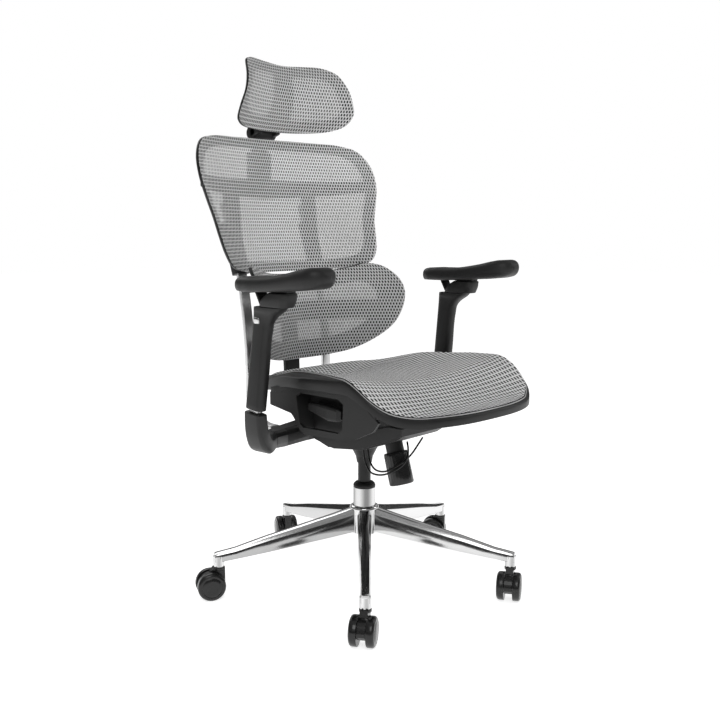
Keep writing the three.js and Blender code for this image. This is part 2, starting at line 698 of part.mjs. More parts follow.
// Bracket behind the upper back: two guides on the uprights, a plate between them, arms out to the frame
// and a slot for the headrest's post.
const GUIDE_Z = [692, 806];
function backBracket() {
  const at = (x, z, out) => [x, backY(x, z) + SKIN + SKIN_GAP + UPPER_BACK.depth + GAP + out, z];
  const arm = (x0, z0, x1, z1) => bar([0, 0.5, 1].map((t) => ({
    at: at(x0 + (x1 - x0) * t, z0 + (z1 - z0) * t, 24 - 16 * t),
    w: 40 - 10 * t,
    h: 12 - 2 * t,
    side: [0, 0, 1],
    up: [0, 1, 0],
  })));
  const limbs = [-1, 1].flatMap((s) => [arm(s * 40, 866, s * 204, 902), arm(s * 40, 838, s * 196, 790)]);
  const alongSlide = [0, Math.cos(SLIDE_LEAN), -Math.sin(SLIDE_LEAN)];
  const guideEnd = (x, z) => ({ at: [x, slideAt(z), z], w: 40, h: 24, side: [1, 0, 0], up: alongSlide });
  const guide = (x) => bar(GUIDE_Z.map((z) => guideEnd(x, z)));
  const plate = bar([
    { at: [0, 302, 782], w: 2 * UPRIGHT_X, h: 16, side: [1, 0, 0], up: [0, 1, -0.3] },
    { at: [0, 322, 826], w: 150, h: 22, side: [1, 0, 0], up: [0, 1, -0.2] },
    { at: [0, 334, 860], w: 92, h: 26, side: [1, 0, 0], up: [0, 1, -0.1] },
    { at: [0, 339, 905], w: 60, h: 26, side: [1, 0, 0], up: [0, 1, -0.05] },
    { at: [0, 341, 968], w: 56, h: 26, side: [1, 0, 0], up: [0, 1, 0] },
  ]);
  const slot = box(-23, 23, 334.5, 345.5, 868, 1000);
  const channels = [-UPRIGHT_X, UPRIGHT_X].map((x) => bar([680, 900].map((z) => ({
    at: [x, slideAt(z), z], w: UPRIGHT_W + 1, h: UPRIGHT_T + 1, r: 3, side: [1, 0, 0], up: alongSlide,
  }))));
  return cut(joined(plate, ...limbs, guide(-UPRIGHT_X), guide(UPRIGHT_X)), slot, ...channels);
}

// ---------------------------------------------------------------- lumbar pad
// Bowed across and up, with its top edge curling back under the upper back.
function lumbarY(x, z) {
  const curl = 0.006 * Math.max(0, z - 640) ** 2 * (0.3 + 0.7 * (x / 220) ** 2);
  return 194 + 0.0012 * (z - 575) ** 2 - 0.0027 * x * x + curl;
}
const LUMBAR = {
  half: [
    [0, 691], [80, 694], [140, 703], [176, 712], [200, 706], [214, 684], [218, 650], [213, 612],
    [197, 570], [168, 537], [128, 512], [76, 500], [0, 496],
  ],
  points: 36, face: lumbarY, band: 42, depth: 14, margins: [80],
};

function lumbarFrame() {
  const ring = panelFrame(LUMBAR);
  const at = (x, z, out) => [x, lumbarY(x, z) + SKIN + GAP + 9 + out, z];
  const bridge = bar([-186, -125, -65, 0, 65, 125, 186].map((x) => ({
    at: at(x, 605, 5 - Math.abs(x) / 31), w: 46, h: 9, side: [0, 0, 1], up: [-x / 240, 1, 0],
  })));
  const [py, pz] = LUMBAR_PIVOT;
  const lugs = [-42, 34].map((x) => box(x, x + 8, 200, py + 9, pz - 10, pz + 10));
  const whole = joined(ring, bridge, ...lugs);
  return cut(whole, rod(5 + GAP, 120, 0, py, pz));
}

// ---------------------------------------------------------------- headrest
const headY = (x, z) => 231 + 0.0065 * (z - 1097) ** 2 - 0.0018 * x * x;
const HEADREST = {
  half: [
    [0, 1156], [60, 1160], [104, 1161], [133, 1149], [148, 1118], [159, 1083], [167, 1056], [160, 1032],
    [132, 1019], [70, 1013], [0, 1012],
  ],
  points: 32, face: headY, band: 26, depth: 7, margins: [55],
};
const HEAD_PIVOT = [330, 1012];
const DRUM_R = 15; // headrest's hinge drum
const DRUM_W = 40; // the post's share of the drum's length

function headrestPost() {
  const strip = box(-20, 20, 336, 344, 880, 1010);
  const barrel = rod(DRUM_R, DRUM_W, 0, ...HEAD_PIVOT, 24);
  return joined(strip, barrel);
}

function headrestFrame() {
  const [py, pz] = HEAD_PIVOT;
  const ring = panelFrame(HEADREST);
  const arch = bar([
    { at: [0, 306, 1018], w: 66, h: 13, side: [1, 0, 0], up: [0, 1, 0.4] },
    { at: [0, 284, 1033], w: 66, h: 11, side: [1, 0, 0], up: [0, 1, 0.6] },
    { at: [0, 259, 1060], w: 60, h: 9, side: [1, 0, 0], up: [0, 1, 0.35] },
    { at: [0, 250, 1096], w: 56, h: 8, side: [1, 0, 0], up: [0, 1, 0] },
    { at: [0, 257, 1140], w: 48, h: 8, side: [1, 0, 0], up: [0, 1, -0.4] },
  ]);
  const earX = DRUM_W / 2 + GAP;
  const ears = [-1, 1].map((s) => rod(DRUM_R, 13, s * (earX + 6.5), py, pz, 24));
  const tang = [[py + 4, pz - 13], [py + 4, pz + 14], [304, pz + 20], [296, pz + 4], [308, pz - 8]];
  const tangs = [-earX - 13, earX].map((x) => sidePlate(tang, x, x + 13));
  const swing = rod(DRUM_R + 1, DRUM_W + 2 * GAP, 0, py, pz, 24);
  return cut(joined(ring, arch, ...tangs, ...ears), swing);
}

// ---------------------------------------------------------------- armrests
const SLEEVE_FOOT = 441;
const armX = (z) => ARM_X + ARM_TOE * (z - 440); // post's centre line
const armY = (z) => 20 + ARM_LEAN * (z - 440);

const armStation = (z, w, h, extra = 0) => ({
  at: [armX(z), armY(z) + extra, z], w, h, r: Math.min(w, h) * 0.42, side: [0, 1, -ARM_LEAN], up: [1, 0, 0],
});

const POST = { w: 30, h: 14 };
const SLEEVE = { w: 45, h: 26 };

// Polished inner post that the sleeve slides on.
const armPost = () => bar([434 + GAP, 560].map((z) => armStation(z, POST.w, POST.h)));

// Black elbow from the yoke's end, round below the sleeve and up to the post.
function armElbow() {
  return bar([
    { at: [YOKE_END.x + GAP, YOKE_END.y, YOKE_END.z], w: 44, h: 36, side: [0, 1, 0], up: [0, 0, 1] },
    { at: [234, 59, 356], w: 50, h: 37, side: [0, 1, 0], up: [-0.15, 0, 1] },
    { at: [258, 46, 367], w: 52, h: 34, side: [0, 1, -0.1], up: [-0.58, 0, 0.82] },
    { at: [275, 34, 387], w: 50, h: 29, side: [0, 1, -0.1], up: [-0.88, 0, 0.46] },
    { at: [285, 26, 411], w: 48, h: 27, side: [0, 1, -0.1], up: [-1, 0, 0.1] },
    { at: [ARM_X, armY(434), 434], w: 46, h: 27, side: [0, 1, -ARM_LEAN], up: [-1, 0, 0] },
  ]);
}

// Sleeve that slides on the post, flaring into the head under the pad.
const TRIGGER_Z = [611, 625];
const TRIGGER_Y = [armY(618) - 3, armY(618) + 13];
const TRIGGER_FACE = armX(618) + SLEEVE.h / 2;
function armSleeve() {
  const outer = bar([
    armStation(SLEEVE_FOOT, SLEEVE.w, SLEEVE.h),
    armStation(600, SLEEVE.w, SLEEVE.h),
    armStation(620, 49, 27, -2),
    armStation(631, 59, 30, -7),
    { ...armStation(639, 76, 35, -16), side: [0, 1, 0] },
    { ...armStation(645, 80, 36, -18), side: [0, 1, 0] },
  ]);
  const hollow = bar([SLEEVE_FOOT - 20, 634].map((z) => armStation(z, POST.w + 2 * GAP, POST.h + 2 * GAP)));
  const [y0, y1] = TRIGGER_Y;
  const [z0, z1] = TRIGGER_Z;
  return cut(outer, hollow, box(TRIGGER_FACE - 4.5, TRIGGER_FACE + 10, y0 - 1, y1 + 1, z0 - 1, z1 + 1));
}

// Trigger let into the sleeve's outer face, under the flare.
function armTrigger() {
  const [y0, y1] = TRIGGER_Y;
  const [z0, z1] = TRIGGER_Z;
  return joined(
    box(TRIGGER_FACE - 1.5, TRIGGER_FACE + 1.5, y0, y1, z0, z1),
    box(TRIGGER_FACE + 1, TRIGGER_FACE + 3.5, y0 + 1.5, y1 - 1.5, z0 + 1.5, z1 - 1.5),
  );
}

// Carrier on top of the sleeve that the pad slides on and swivels with.
const CARRIER_TOP = 673;
const TONGUE_TOP = 679;
const HEAD_X = armX(645);
function padCarrier() {
  const level = { side: [0, 1, 0], up: [1, 0, 0] };
  const block = bar([
    { at: [HEAD_X, -38, 645 + GAP], w: 78, h: 36, ...level },
    { at: [HEAD_X, -43, 657], w: 76, h: 40, ...level },
    { at: [HEAD_X, -56, CARRIER_TOP], w: 54, h: 40, ...level },
  ]);
  const strut = bar([
    { at: [HEAD_X, -6, 648], w: 7, h: 26, ...level },
    { at: [HEAD_X, 8, CARRIER_TOP], w: 7, h: 26, ...level },
  ]);
  return joined(block, strut, box(HEAD_X - 12, HEAD_X + 12, -80, -30, CARRIER_TOP - 2, TONGUE_TOP));
}

// Soft pad with a dished top, thicker and higher at the front, set slightly toe-out.
function armPad() {
  const stations = [
    [57, 686, 24, 12], [52, 686, 52, 24], [39, 687, 72, 31], [15, 688, 82, 30], [-24, 689, 84, 29],
    [-66, 692, 84, 31], [-108, 697, 84, 35], [-143, 702, 81, 40], [-168, 705, 69, 38], [-182, 706, 48, 28],
    [-187, 706, 24, 12],
  ];
  const centreX = (y) => HEAD_X + 3 - 0.03 * (y + 65);
  const body = loft(stations.map(([y, z, w, h]) => {
    const section = roundedRing(w, h, h * 0.45);
    return section.map(([a, b]) => [centreX(y) + a, y, z + b]);
  }));
  const channel = box(HEAD_X - 12 - GAP, HEAD_X + 12 + GAP, -114, 4, 655, TONGUE_TOP + GAP);
  const flatten = box(HEAD_X - 60, HEAD_X + 60, -110, 60, 640, CARRIER_TOP + GAP);
  return cut(body, channel, flatten);
}

// ---------------------------------------------------------------- assembly
function buildArm(side, geometryFor) {
  add(`arm_elbow_${side}`, geometryFor(armElbow()), blackPlastic);
  add(`arm_post_${side}`, geometryFor(armPost()), polishedAluminium);
  add(`arm_sleeve_${side}`, geometryFor(armSleeve()), blackPlastic);
  add(`arm_trigger_${side}`, geometryFor(armTrigger()), polishedAluminium);
  add(`pad_carrier_${side}`, geometryFor(padCarrier()), blackPlastic);
  add(`arm_pad_${side}`, geometryFor(armPad()), softPad);
}

add("star_base", starBase(), polishedAluminium);
add("gas_cylinder", gasCylinder(), polishedAluminium);
add("cylinder_collar", cylinderCollar(), blackPlastic);
buildCastors();
add("gas_piston", gasPiston(), blackPaint);
add("mechanism_housing", mechanismHousing(), blackPaint);
add("mechanism_cover", mechanismCover(), blackPlastic);
add("tension_knob", tensionKnob(), blackPlastic);
add("control_cable_front", cable(FRONT_CABLE), blackPlastic);
add("control_cable_rear", cable(REAR_CABLE), blackPlastic);
add("seat_carriage", seatCarriage(), steel);
add("seat_shell", seatShell(), blackPlastic);
add("seat_rim", seatRim(), blackPlastic);
add("seat_mesh", seatMesh(), greyMesh);
add("seat_lever_right", seatLever(), blackPlastic);
add("seat_lever_left", mirroredX(seatLever()), blackPlastic);
add("recline_axle", reclineAxle(), steel);
add("back_yoke", backYoke(), blackPaint);
add("upright_left", upright(), polishedAluminium);
add("upright_right", mirroredX(upright()), polishedAluminium);
add("spine", spine(), blackPlastic);
add("lumbar_frame", lumbarFrame(), blackPlastic);
add("lumbar_mesh", panelMesh(LUMBAR), greyMesh);
add("back_bracket", backBracket(), blackPlastic);
add("back_frame", panelFrame(UPPER_BACK), blackPlastic);
add("back_mesh", panelMesh(UPPER_BACK), greyMesh);
add("headrest_post", headrestPost(), blackPlastic);
add("headrest_frame", headrestFrame(), blackPlastic);
add("headrest_mesh", panelMesh(HEADREST), greyMesh);
buildArm("left", (geometry) => geometry);
buildArm("right", mirroredX);

// The part's origin is on the floor under the middle of its overall box.
const bounds = new THREE.Box3().setFromObject(assembly, true);
assembly.position.set(-(bounds.min.x + bounds.max.x) / 2, -(bounds.min.y + bounds.max.y) / 2, -bounds.min.z);

export default chair;
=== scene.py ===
# Looks for the swivel office chair. Every piece is drawn in millimetres about the lift's axis, then moved to
# the frame.
import math

import bpy
import bmesh
import numpy as np
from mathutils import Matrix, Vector


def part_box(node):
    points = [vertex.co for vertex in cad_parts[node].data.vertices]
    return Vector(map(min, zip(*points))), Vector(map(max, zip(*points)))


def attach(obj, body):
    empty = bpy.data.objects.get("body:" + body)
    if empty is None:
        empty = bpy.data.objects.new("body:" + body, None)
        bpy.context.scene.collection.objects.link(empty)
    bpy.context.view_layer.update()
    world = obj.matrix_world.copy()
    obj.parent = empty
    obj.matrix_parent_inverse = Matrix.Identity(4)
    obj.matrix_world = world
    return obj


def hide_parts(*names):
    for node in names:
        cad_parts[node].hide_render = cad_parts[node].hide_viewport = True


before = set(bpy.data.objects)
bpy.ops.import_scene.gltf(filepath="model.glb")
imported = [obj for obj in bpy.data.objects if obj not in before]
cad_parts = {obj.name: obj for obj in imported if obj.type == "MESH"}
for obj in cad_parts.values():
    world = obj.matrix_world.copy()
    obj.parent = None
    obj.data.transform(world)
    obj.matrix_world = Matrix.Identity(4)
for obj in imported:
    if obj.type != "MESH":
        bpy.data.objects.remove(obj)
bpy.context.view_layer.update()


# ------------------------------------------------------------------ the drawing's place in the frame
MM = 0.001
CYLINDER_TOP = 231  # height of the gas cylinder's top above the drawing's datum
cylinder_low, cylinder_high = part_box("gas_cylinder")
ORIGIN = np.array([
    (cylinder_low.x + cylinder_high.x) / 2,
    (cylinder_low.y + cylinder_high.y) / 2,
    cylinder_high.z - CYLINDER_TOP * MM,
])


def place(x, y, z):
    """A point of the drawing, in metres in the frame."""
    return ORIGIN + np.array([x, y, z]) * MM


# ------------------------------------------------------------------ camera, floor and light
camera_data = bpy.data.cameras.new("view")
camera = bpy.data.objects.new("view", camera_data)
bpy.context.scene.collection.objects.link(camera)
bpy.context.scene.camera = camera
SENSOR, FOCAL_PX, FRAME_PX = 36, 947.23, 720  # the fitted focal length is in pixels of the photograph's frame
camera_data.sensor_width = SENSOR
camera_data.lens = SENSOR * FOCAL_PX / FRAME_PX
camera_data.clip_end = 60
camera.location = place(-1476.11, -1392.98, 794.61)
camera.rotation_euler = Vector((0.7171, 0.68314, -0.13816)).to_track_quat("-Z", "Y").to_euler()


def plain(name, colour, rough):
    material = bpy.data.materials.new(name)
    material.use_nodes = True
    shader = material.node_tree.nodes["Principled BSDF"]
    shader.inputs["Base Color"].default_value = (*colour, 1)
    shader.inputs["Roughness"].default_value = rough
    return material


floor_mesh = bpy.data.meshes.new("floor")
floor_mesh.from_pydata([(-14, -14, 0), (14, -14, 0), (14, 14, 0), (-14, 14, 0)], [], [(0, 1, 2, 3)])
floor = bpy.data.objects.new("floor", floor_mesh)
bpy.context.scene.collection.objects.link(floor)
paint = plain("floor_paint", (0.9, 0.9, 0.9), 0.9)
paint.node_tree.nodes["Principled BSDF"].inputs["Emission Color"].default_value = (1, 1, 1, 1)
paint.node_tree.nodes["Principled BSDF"].inputs["Emission Strength"].default_value = 0.75
floor_mesh.materials.append(paint)


def area_light(name, position, target, size, power):
    data = bpy.data.lights.new(name, "AREA")
    data.shape = "RECTANGLE"
    data.size, data.size_y = size
    data.energy = power
    light = bpy.data.objects.new(name, data)
    light.location = position
    light.rotation_euler = (Vector(target) - Vector(position)).to_track_quat("-Z", "Y").to_euler()
    bpy.context.scene.collection.objects.link(light)


area_light("key", (-2.6, -2.4, 3.2), (0, 0, 0.6), (2.2, 2.2), 52)
area_light("side", (2.8, -1.6, 2.0), (0, 0, 0.6), (1.4, 2.4), 16)
area_light("back", (0.6, 3.0, 2.6), (0, 0, 0.8), (2.5, 1.6), 26)

world = bpy.data.worlds.new("studio")
bpy.context.scene.world = world
world.use_nodes = True
wn, wl = world.node_tree.nodes, world.node_tree.links
wn.clear()
world_out = wn.new("ShaderNodeOutputWorld")
seen = wn.new("ShaderNodeBackground")
seen.inputs[0].default_value = (1, 1, 1, 1)
seen.inputs[1].default_value = 1.0
lit = wn.new("ShaderNodeBackground")
lit.inputs[1].default_value = 0.55
ramp = wn.new("ShaderNodeValToRGB")
ramp.color_ramp.elements[0].position = 0.0
ramp.color_ramp.elements[0].color = (0.5, 0.5, 0.5, 1)
ramp.color_ramp.elements[1].position = 1.0
ramp.color_ramp.elements[1].color = (1, 1, 1, 1)
for position, grey in ((0.49, 0.4), (0.52, 0.06), (0.60, 0.12), (0.68, 0.9), (0.78, 0.35)):
    ramp.color_ramp.elements.new(position).color = (grey, grey, grey, 1)
directions = wn.new("ShaderNodeTexCoord")
split = wn.new("ShaderNodeSeparateXYZ")
height = wn.new("ShaderNodeMapRange")
height.inputs["From Min"].default_value = -1
height.inputs["From Max"].default_value = 1
path = wn.new("ShaderNodeLightPath")
mix = wn.new("ShaderNodeMixShader")
wl.new(directions.outputs["Generated"], split.inputs[0])
wl.new(split.outputs["Z"], height.inputs["Value"])
wl.new(height.outputs[0], ramp.inputs[0])
wl.new(ramp.outputs[0], lit.inputs[0])
wl.new(path.outputs["Is Camera Ray"], mix.inputs[0])
wl.new(lit.outputs[0], mix.inputs[1])
wl.new(seen.outputs[0], mix.inputs[2])
wl.new(mix.outputs[0], world_out.inputs[0])
bpy.context.scene.view_settings.view_transform = "Standard"


# ------------------------------------------------------------------ materials
class Nodes:
    """Short-hand for building a material's node tree."""

    def __init__(self, name, colour, rough, metallic=0.0, coat=0.0, specular=0.5):
        self.material = bpy.data.materials.new(name)
        self.material.use_nodes = True
        self.tree = self.material.node_tree
        self.shader = self.tree.nodes["Principled BSDF"]
        self.shader.inputs["Base Color"].default_value = (*colour, 1)
        self.shader.inputs["Roughness"].default_value = rough
        self.shader.inputs["Metallic"].default_value = metallic
        self.shader.inputs["Coat Weight"].default_value = coat
        self.shader.inputs["Specular IOR Level"].default_value = specular
        self.place = self.tree.nodes.new("ShaderNodeTexCoord").outputs["Object"]

    def link(self, a, b):
        self.tree.links.new(a, b)

    def node(self, kind, inputs=None, **settings):
        made = self.tree.nodes.new(kind)
        for key, value in settings.items():
            setattr(made, key, value)
        for key, value in (inputs or {}).items():
            if isinstance(value, bpy.types.NodeSocket):
                self.link(value, made.inputs[key])
            else:
                made.inputs[key].default_value = value
        return made

    def noise(self, scale, detail=3.0, vector=None):
        inputs = {"Vector": vector or self.place, "Scale": scale, "Detail": detail}
        return self.node("ShaderNodeTexNoise", inputs).outputs["Fac"]

    def remap(self, value, low, high, start=0.3, end=0.7):
        inputs = {"Value": value, "From Min": start, "From Max": end, "To Min": low, "To Max": high}
        return self.node("ShaderNodeMapRange", inputs).outputs["Result"]

    def math(self, operation, a, b):
        return self.node("ShaderNodeMath", {0: a, 1: b}, operation=operation).outputs[0]

    def tones(self, value, dark, light):
        mixer = self.node("ShaderNodeMix", None, data_type="RGBA")
        self.link(value, mixer.inputs[0])
        mixer.inputs[6].default_value = (*dark, 1)
        mixer.inputs[7].default_value = (*light, 1)
        return mixer.outputs[2]

    def bump(self, height, strength, distance):
        inputs = {"Height": height, "Strength": strength, "Distance": distance}
        return self.node("ShaderNodeBump", inputs).outputs["Normal"]

    def done(self, colour=None, rough=None, normal=None, alpha=None):
        given = {"Base Color": colour, "Roughness": rough, "Normal": normal, "Alpha": alpha}
        for key, value in given.items():
            if value is not None:
                self.link(value, self.shader.inputs[key])
        return self.material


def moulded(name, tone, rough, grain_scale, grain_depth, coat=0.0):
    """Black plastic: slight tone changes, a fine moulded grain and worn, shinier patches."""
    n = Nodes(name, (tone,) * 3, rough, coat=coat, specular=0.35)
    large = n.noise(9.0, 4.0)
    grain = n.noise(grain_scale, 2.0)
    colour = n.tones(n.remap(large, 0, 1), (tone * 0.8,) * 3, (tone * 1.35,) * 3)
    roughness = n.remap(large, rough - 0.06, rough + 0.07)
    return n.done(colour, roughness, n.bump(grain, 0.35, grain_depth))


def metal(name, tone, rough, streak, shadow=0.2):
    """Polished or brushed metal: painted reflections and painted shade in the base colour, light and dark bands
    set by the way each face turns, a painted highlight on faces that look up, and faint handling marks in its
    gloss.
    """
    n = Nodes(name, (tone,) * 3, rough, metallic=1.0)
    large = n.noise(14.0, 5.0)
    fine = n.noise(streak, 2.0)
    roughness = n.math("ADD", n.remap(large, rough * 0.75, rough * 1.4), n.remap(fine, 0, 0.02))
    # Painted reflections: the base colour runs from the shadow tone to the full tone in bands round the upright,
    # set by the way each face turns.
    facing = n.node("ShaderNodeSeparateXYZ", {0: n.node("ShaderNodeTexCoord").outputs["Normal"]}).outputs
    turn = n.math("ARCTAN2", facing["Y"], facing["X"])
    painted_reflection_bands = n.math("SINE", n.math("ADD", n.math("MULTIPLY", turn, 4.0), 0.9), 0.0)
    # Painted highlight: faces that look up get the lighter tone.
    up = n.remap(facing["Z"], 0, 1, 0.15, 0.85)
    lit = n.math("MAXIMUM", n.remap(painted_reflection_bands, 0, 0.75, -0.9, 0.9), up)
    colour = n.tones(lit, (shadow,) * 3, (tone,) * 3)
    return n.done(colour, roughness, n.bump(fine, 0.06, 0.0002))


WEAVE_CELL = (7.0, 7.6)  # width and height of one cell of the weave, millimetres


def woven(name, threads, thread_cover, slit_cover):
    """Stretched mesh: rows of slits between light ribbons of yarn, open enough to see what lies behind."""
    n = Nodes(name, (0.6,) * 3, 0.85, specular=0.3)
    weave = n.node("ShaderNodeAttribute", None, attribute_name="weave").outputs["Vector"]
    parts = n.node("ShaderNodeSeparateXYZ", {0: weave})
    u, v = parts.outputs["X"], parts.outputs["Y"]
    narrow = 0.73  # the threads beside a slit are wider than those above it
    cells = n.node("ShaderNodeCombineXYZ", {0: n.math("MULTIPLY", u, narrow), 1: v})
    bricks = n.node(
        "ShaderNodeTexBrick",
        {"Vector": cells.outputs[0], "Scale": 1.0, "Mortar Size": 1.3, "Mortar Smooth": 0.1, "Bias": 0.0,
         "Brick Width": WEAVE_CELL[0] * narrow, "Row Height": WEAVE_CELL[1]},
        offset=0.5,
    )
    thread = bricks.outputs["Fac"]
    yarn_vector = n.node("ShaderNodeCombineXYZ", {0: u, 1: v}).outputs[0]
    yarn = n.node(
        "ShaderNodeTexWave",
        {"Vector": yarn_vector, "Scale": 0.42, "Distortion": 0.6, "Detail": 1.0, "Detail Scale": 1.5},
        bands_direction="Y",
    ).outputs["Fac"]
    fuzz = n.noise(700.0, 2.0)
    drift = n.noise(7.0, 3.0)
    light = n.tones(n.remap(yarn, 0, 1, 0.0, 1.0), (threads * 0.62,) * 3, (threads,) * 3)
    varied = n.node("ShaderNodeMix", None, data_type="RGBA", blend_type="MULTIPLY")
    varied.inputs[0].default_value = 1.0
    n.link(light, varied.inputs[6])
    n.link(n.tones(n.remap(drift, 0, 1), (0.9,) * 3, (1.0,) * 3), varied.inputs[7])
    colour = n.node("ShaderNodeMix", None, data_type="RGBA")
    n.link(thread, colour.inputs[0])
    colour.inputs[6].default_value = (0.02, 0.02, 0.02, 1)
    n.link(varied.outputs[2], colour.inputs[7])
    height = n.math("ADD", n.math("MULTIPLY", thread, 1.0), n.math("MULTIPLY", yarn, 0.25))
    height = n.math("ADD", height, n.math("MULTIPLY", fuzz, 0.1))
    alpha = n.remap(thread, slit_cover, thread_cover, 0.0, 0.5)
    return n.done(colour.outputs[2], None, n.bump(height, 0.8, 0.001), alpha)


BLACK = moulded("satin_black", 0.009, 0.46, 900.0, 0.00025)
CASTING = moulded("black_casting", 0.008, 0.42, 500.0, 0.0003)
NYLON = moulded("castor_black", 0.007, 0.26, 600.0, 0.0001, coat=0.2)
SKIN_BLACK = moulded("pad_skin", 0.009, 0.5, 420.0, 0.0004)
# For the metals, the last number is the darkest tone of their painted reflections and painted shade.
CHROME = metal("polished_metal", 0.8, 0.1, 900.0, 0.42)
BRUSHED = metal("brushed_aluminium", 0.8, 0.3, 900.0, 0.62)
PIPING = moulded("piping_grey", 0.5, 0.5, 900.0, 0.0002)
CYLINDER = metal("chromed_tube", 0.8, 0.12, 900.0)
STEEL = metal("plain_steel", 0.5, 0.3, 700.0)
WOVEN = woven("woven_grey", 1.1, 0.88, 0.8)
WOVEN_DENSE = woven("woven_dense", 0.92, 0.94, 0.88)
WOVEN_SEAT = woven("woven_seat", 1.15, 1.0, 0.97)


# ------------------------------------------------------------------ mesh helpers
def make(name, vertices, faces, material, body, replaced=(), smooth_angle=40):
    mesh = bpy.data.meshes.new(name)
    mesh.from_pydata([tuple(map(float, v)) for v in vertices], [], [tuple(map(int, f)) for f in faces])
    mesh.validate()
    bm = bmesh.new()
    bm.from_mesh(mesh)
    bmesh.ops.recalc_face_normals(bm, faces=bm.faces)
    bm.to_mesh(mesh)
    bm.free()
    mesh.materials.append(material)
    piece = bpy.data.objects.new(name, mesh)
    bpy.context.scene.collection.objects.link(piece)
    shade(piece, smooth_angle)
    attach(piece, body)
    if replaced:
        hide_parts(*replaced)
    return piece


def shade(piece, angle):
    """Smooth shading, with edges sharper than the angle kept. The mesh's vertices and faces aren't touched."""
    mesh = piece.data
    mesh.shade_smooth()
    limit = math.radians(angle)
    bm = bmesh.new()
    bm.from_mesh(mesh)
    sharp = {edge.index for edge in bm.edges if len(edge.link_faces) != 2 or edge.calc_face_angle(0) >= limit}
    bm.free()
    for edge in mesh.edges:
        edge.use_edge_sharp = edge.index in sharp


class Shape:
    """Vertices and faces gathered from several closed forms."""

    def __init__(self):
        self.vertices, self.faces = [], []

    def add(self, vertices, faces):
        start = len(self.vertices)
        self.vertices += [tuple(v) for v in vertices]
        self.faces += [tuple(start + i for i in f) for f in faces]
        return self

    def mirrored(self):
        other = Shape()
        other.vertices = [(-x, y, z) for x, y, z in self.vertices]
        other.faces = [f[::-1] for f in self.faces]
        return other

    def make(self, name, material, body, slot, replaced=(), smooth_angle=40):
        placed = [place(*v) for v in self.vertices]
        return make(name, placed, self.faces, material, body, replaced, smooth_angle)


def loft(rings, looped=False):
    """Closed form through rings of points: the last joins the first if looped, or else the ends are capped."""
    n, count = len(rings[0]), len(rings)
    faces = []
    for i in range(count if looped else count - 1):
        k = (i + 1) % count
        for j in range(n):
            m = (j + 1) % n
            faces.append((i * n + j, i * n + m, k * n + m, k * n + j))
    if not looped:
        faces.append(tuple(range(n - 1, -1, -1)))
        faces.append(tuple((count - 1) * n + j for j in range(n)))
    return [p for ring in rings for p in ring], faces


def rounded_ring(w, h, r, per_corner=6):
    ring = []
    for cu, cv, start in ((w / 2 - r, h / 2 - r, 0), (-w / 2 + r, h / 2 - r, 90),
                          (-w / 2 + r, -h / 2 + r, 180), (w / 2 - r, -h / 2 + r, 270)):
        for k in range(per_corner):
            t = math.radians(start + 90 * k / (per_corner - 1))
            ring.append((cu + r * math.cos(t), cv + r * math.sin(t)))
    return ring


def through(values, count):
    """Smooth curve through rows that start with a point, with count steps a span and speed set by distance."""
    rows = np.array(values, float)
    span = np.linalg.norm(np.diff(rows[:, :3], axis=0), axis=1)
    slope = np.diff(rows, axis=0) / span[:, None]
    tangent = [slope[0]]
    for i in range(1, len(rows) - 1):
        tangent.append((slope[i - 1] * span[i] + slope[i] * span[i - 1]) / (span[i - 1] + span[i]))
    tangent.append(slope[-1])
    out = []
    for i in range(len(span)):
        for k in range(count):
            t = k / count
            out.append((2 * t ** 3 - 3 * t * t + 1) * rows[i] + (3 * t * t - 2 * t ** 3) * rows[i + 1]
                       + span[i] * ((t ** 3 - 2 * t * t + t) * tangent[i] + (t ** 3 - t * t) * tangent[i + 1]))
    return np.array(out + [rows[-1]])


def near_end(row, towards, depth, shrink):
    """A row moved in from a bar's end, with its section made smaller."""
    moved = np.array(row, float)
    inward = towards[:3] - row[:3]
    moved[:3] += inward / np.linalg.norm(inward) * depth
    moved[3:5] -= 2 * shrink
    return moved


def sweep(stations, between=6, soft=1.5):
    """Smooth bar through stations (at, w, h, side, up) or (at, w, h, side, up, r), with softened ends."""
    rows = []
    for at, w, h, side, up, *corner in stations:
        r = corner[0] if corner else min(w, h) * 0.3
        side, up = (np.array(v, float) / np.linalg.norm(v) for v in (side, up))
        rows.append([*at, w, h, r, *side, *up])
    rows = through(rows, between)
    steps = ((0, soft), (0.3 * soft, 0.3 * soft), (soft, 0))
    first = [near_end(rows[0], rows[1], *step) for step in steps]
    last = [near_end(rows[-1], rows[-2], *step) for step in steps[::-1]]
    rings = []
    for row in first + list(rows[1:-1]) + last:
        w, h, r = row[3:6]
        ring = rounded_ring(w, h, min(r, 0.49 * min(w, h)))
        rings.append([tuple(row[:3] + a * row[6:9] + b * row[9:12]) for a, b in ring])
    return loft(rings)


def circle(r, z, sides):
    turns = (2 * math.pi * k / sides for k in range(sides))
    return [(r * math.cos(t), r * math.sin(t), z) for t in turns]


def turned(profile, sides=64, at=(0, 0, 0), axis=None, hollow=False):
    """Solid of revolution about +Z or the axis, from [radius, height] pairs that form a closed loop if hollow."""
    vertices, faces = loft([circle(r, z, sides) for r, z in profile], hollow)
    if axis is not None:
        turn = Vector(axis).to_track_quat("Z", "Y").to_matrix()
        vertices = [tuple(turn @ Vector(v)) for v in vertices]
    return [(x + at[0], y + at[1], z + at[2]) for x, y, z in vertices], faces


def soft_profile(points, radius=1.0, steps=3):
    """[radius, height] pairs with every inner corner rounded."""
    out = [points[0]]
    for before, here, after in zip(points, points[1:], points[2:]):
        a, b, c = (np.array(p, float) for p in (before, here, after))
        la, lc = np.linalg.norm(a - b), np.linalg.norm(c - b)
        r = min(radius, la / 2.2, lc / 2.2)
        start, end = b + (a - b) / (la + 1e-9) * r, b + (c - b) / (lc + 1e-9) * r
        for k in range(steps + 1):
            t = k / steps
            out.append(tuple((1 - t) ** 2 * start + 2 * t * (1 - t) * b + t * t * end))
    out.append(points[-1])
    return out


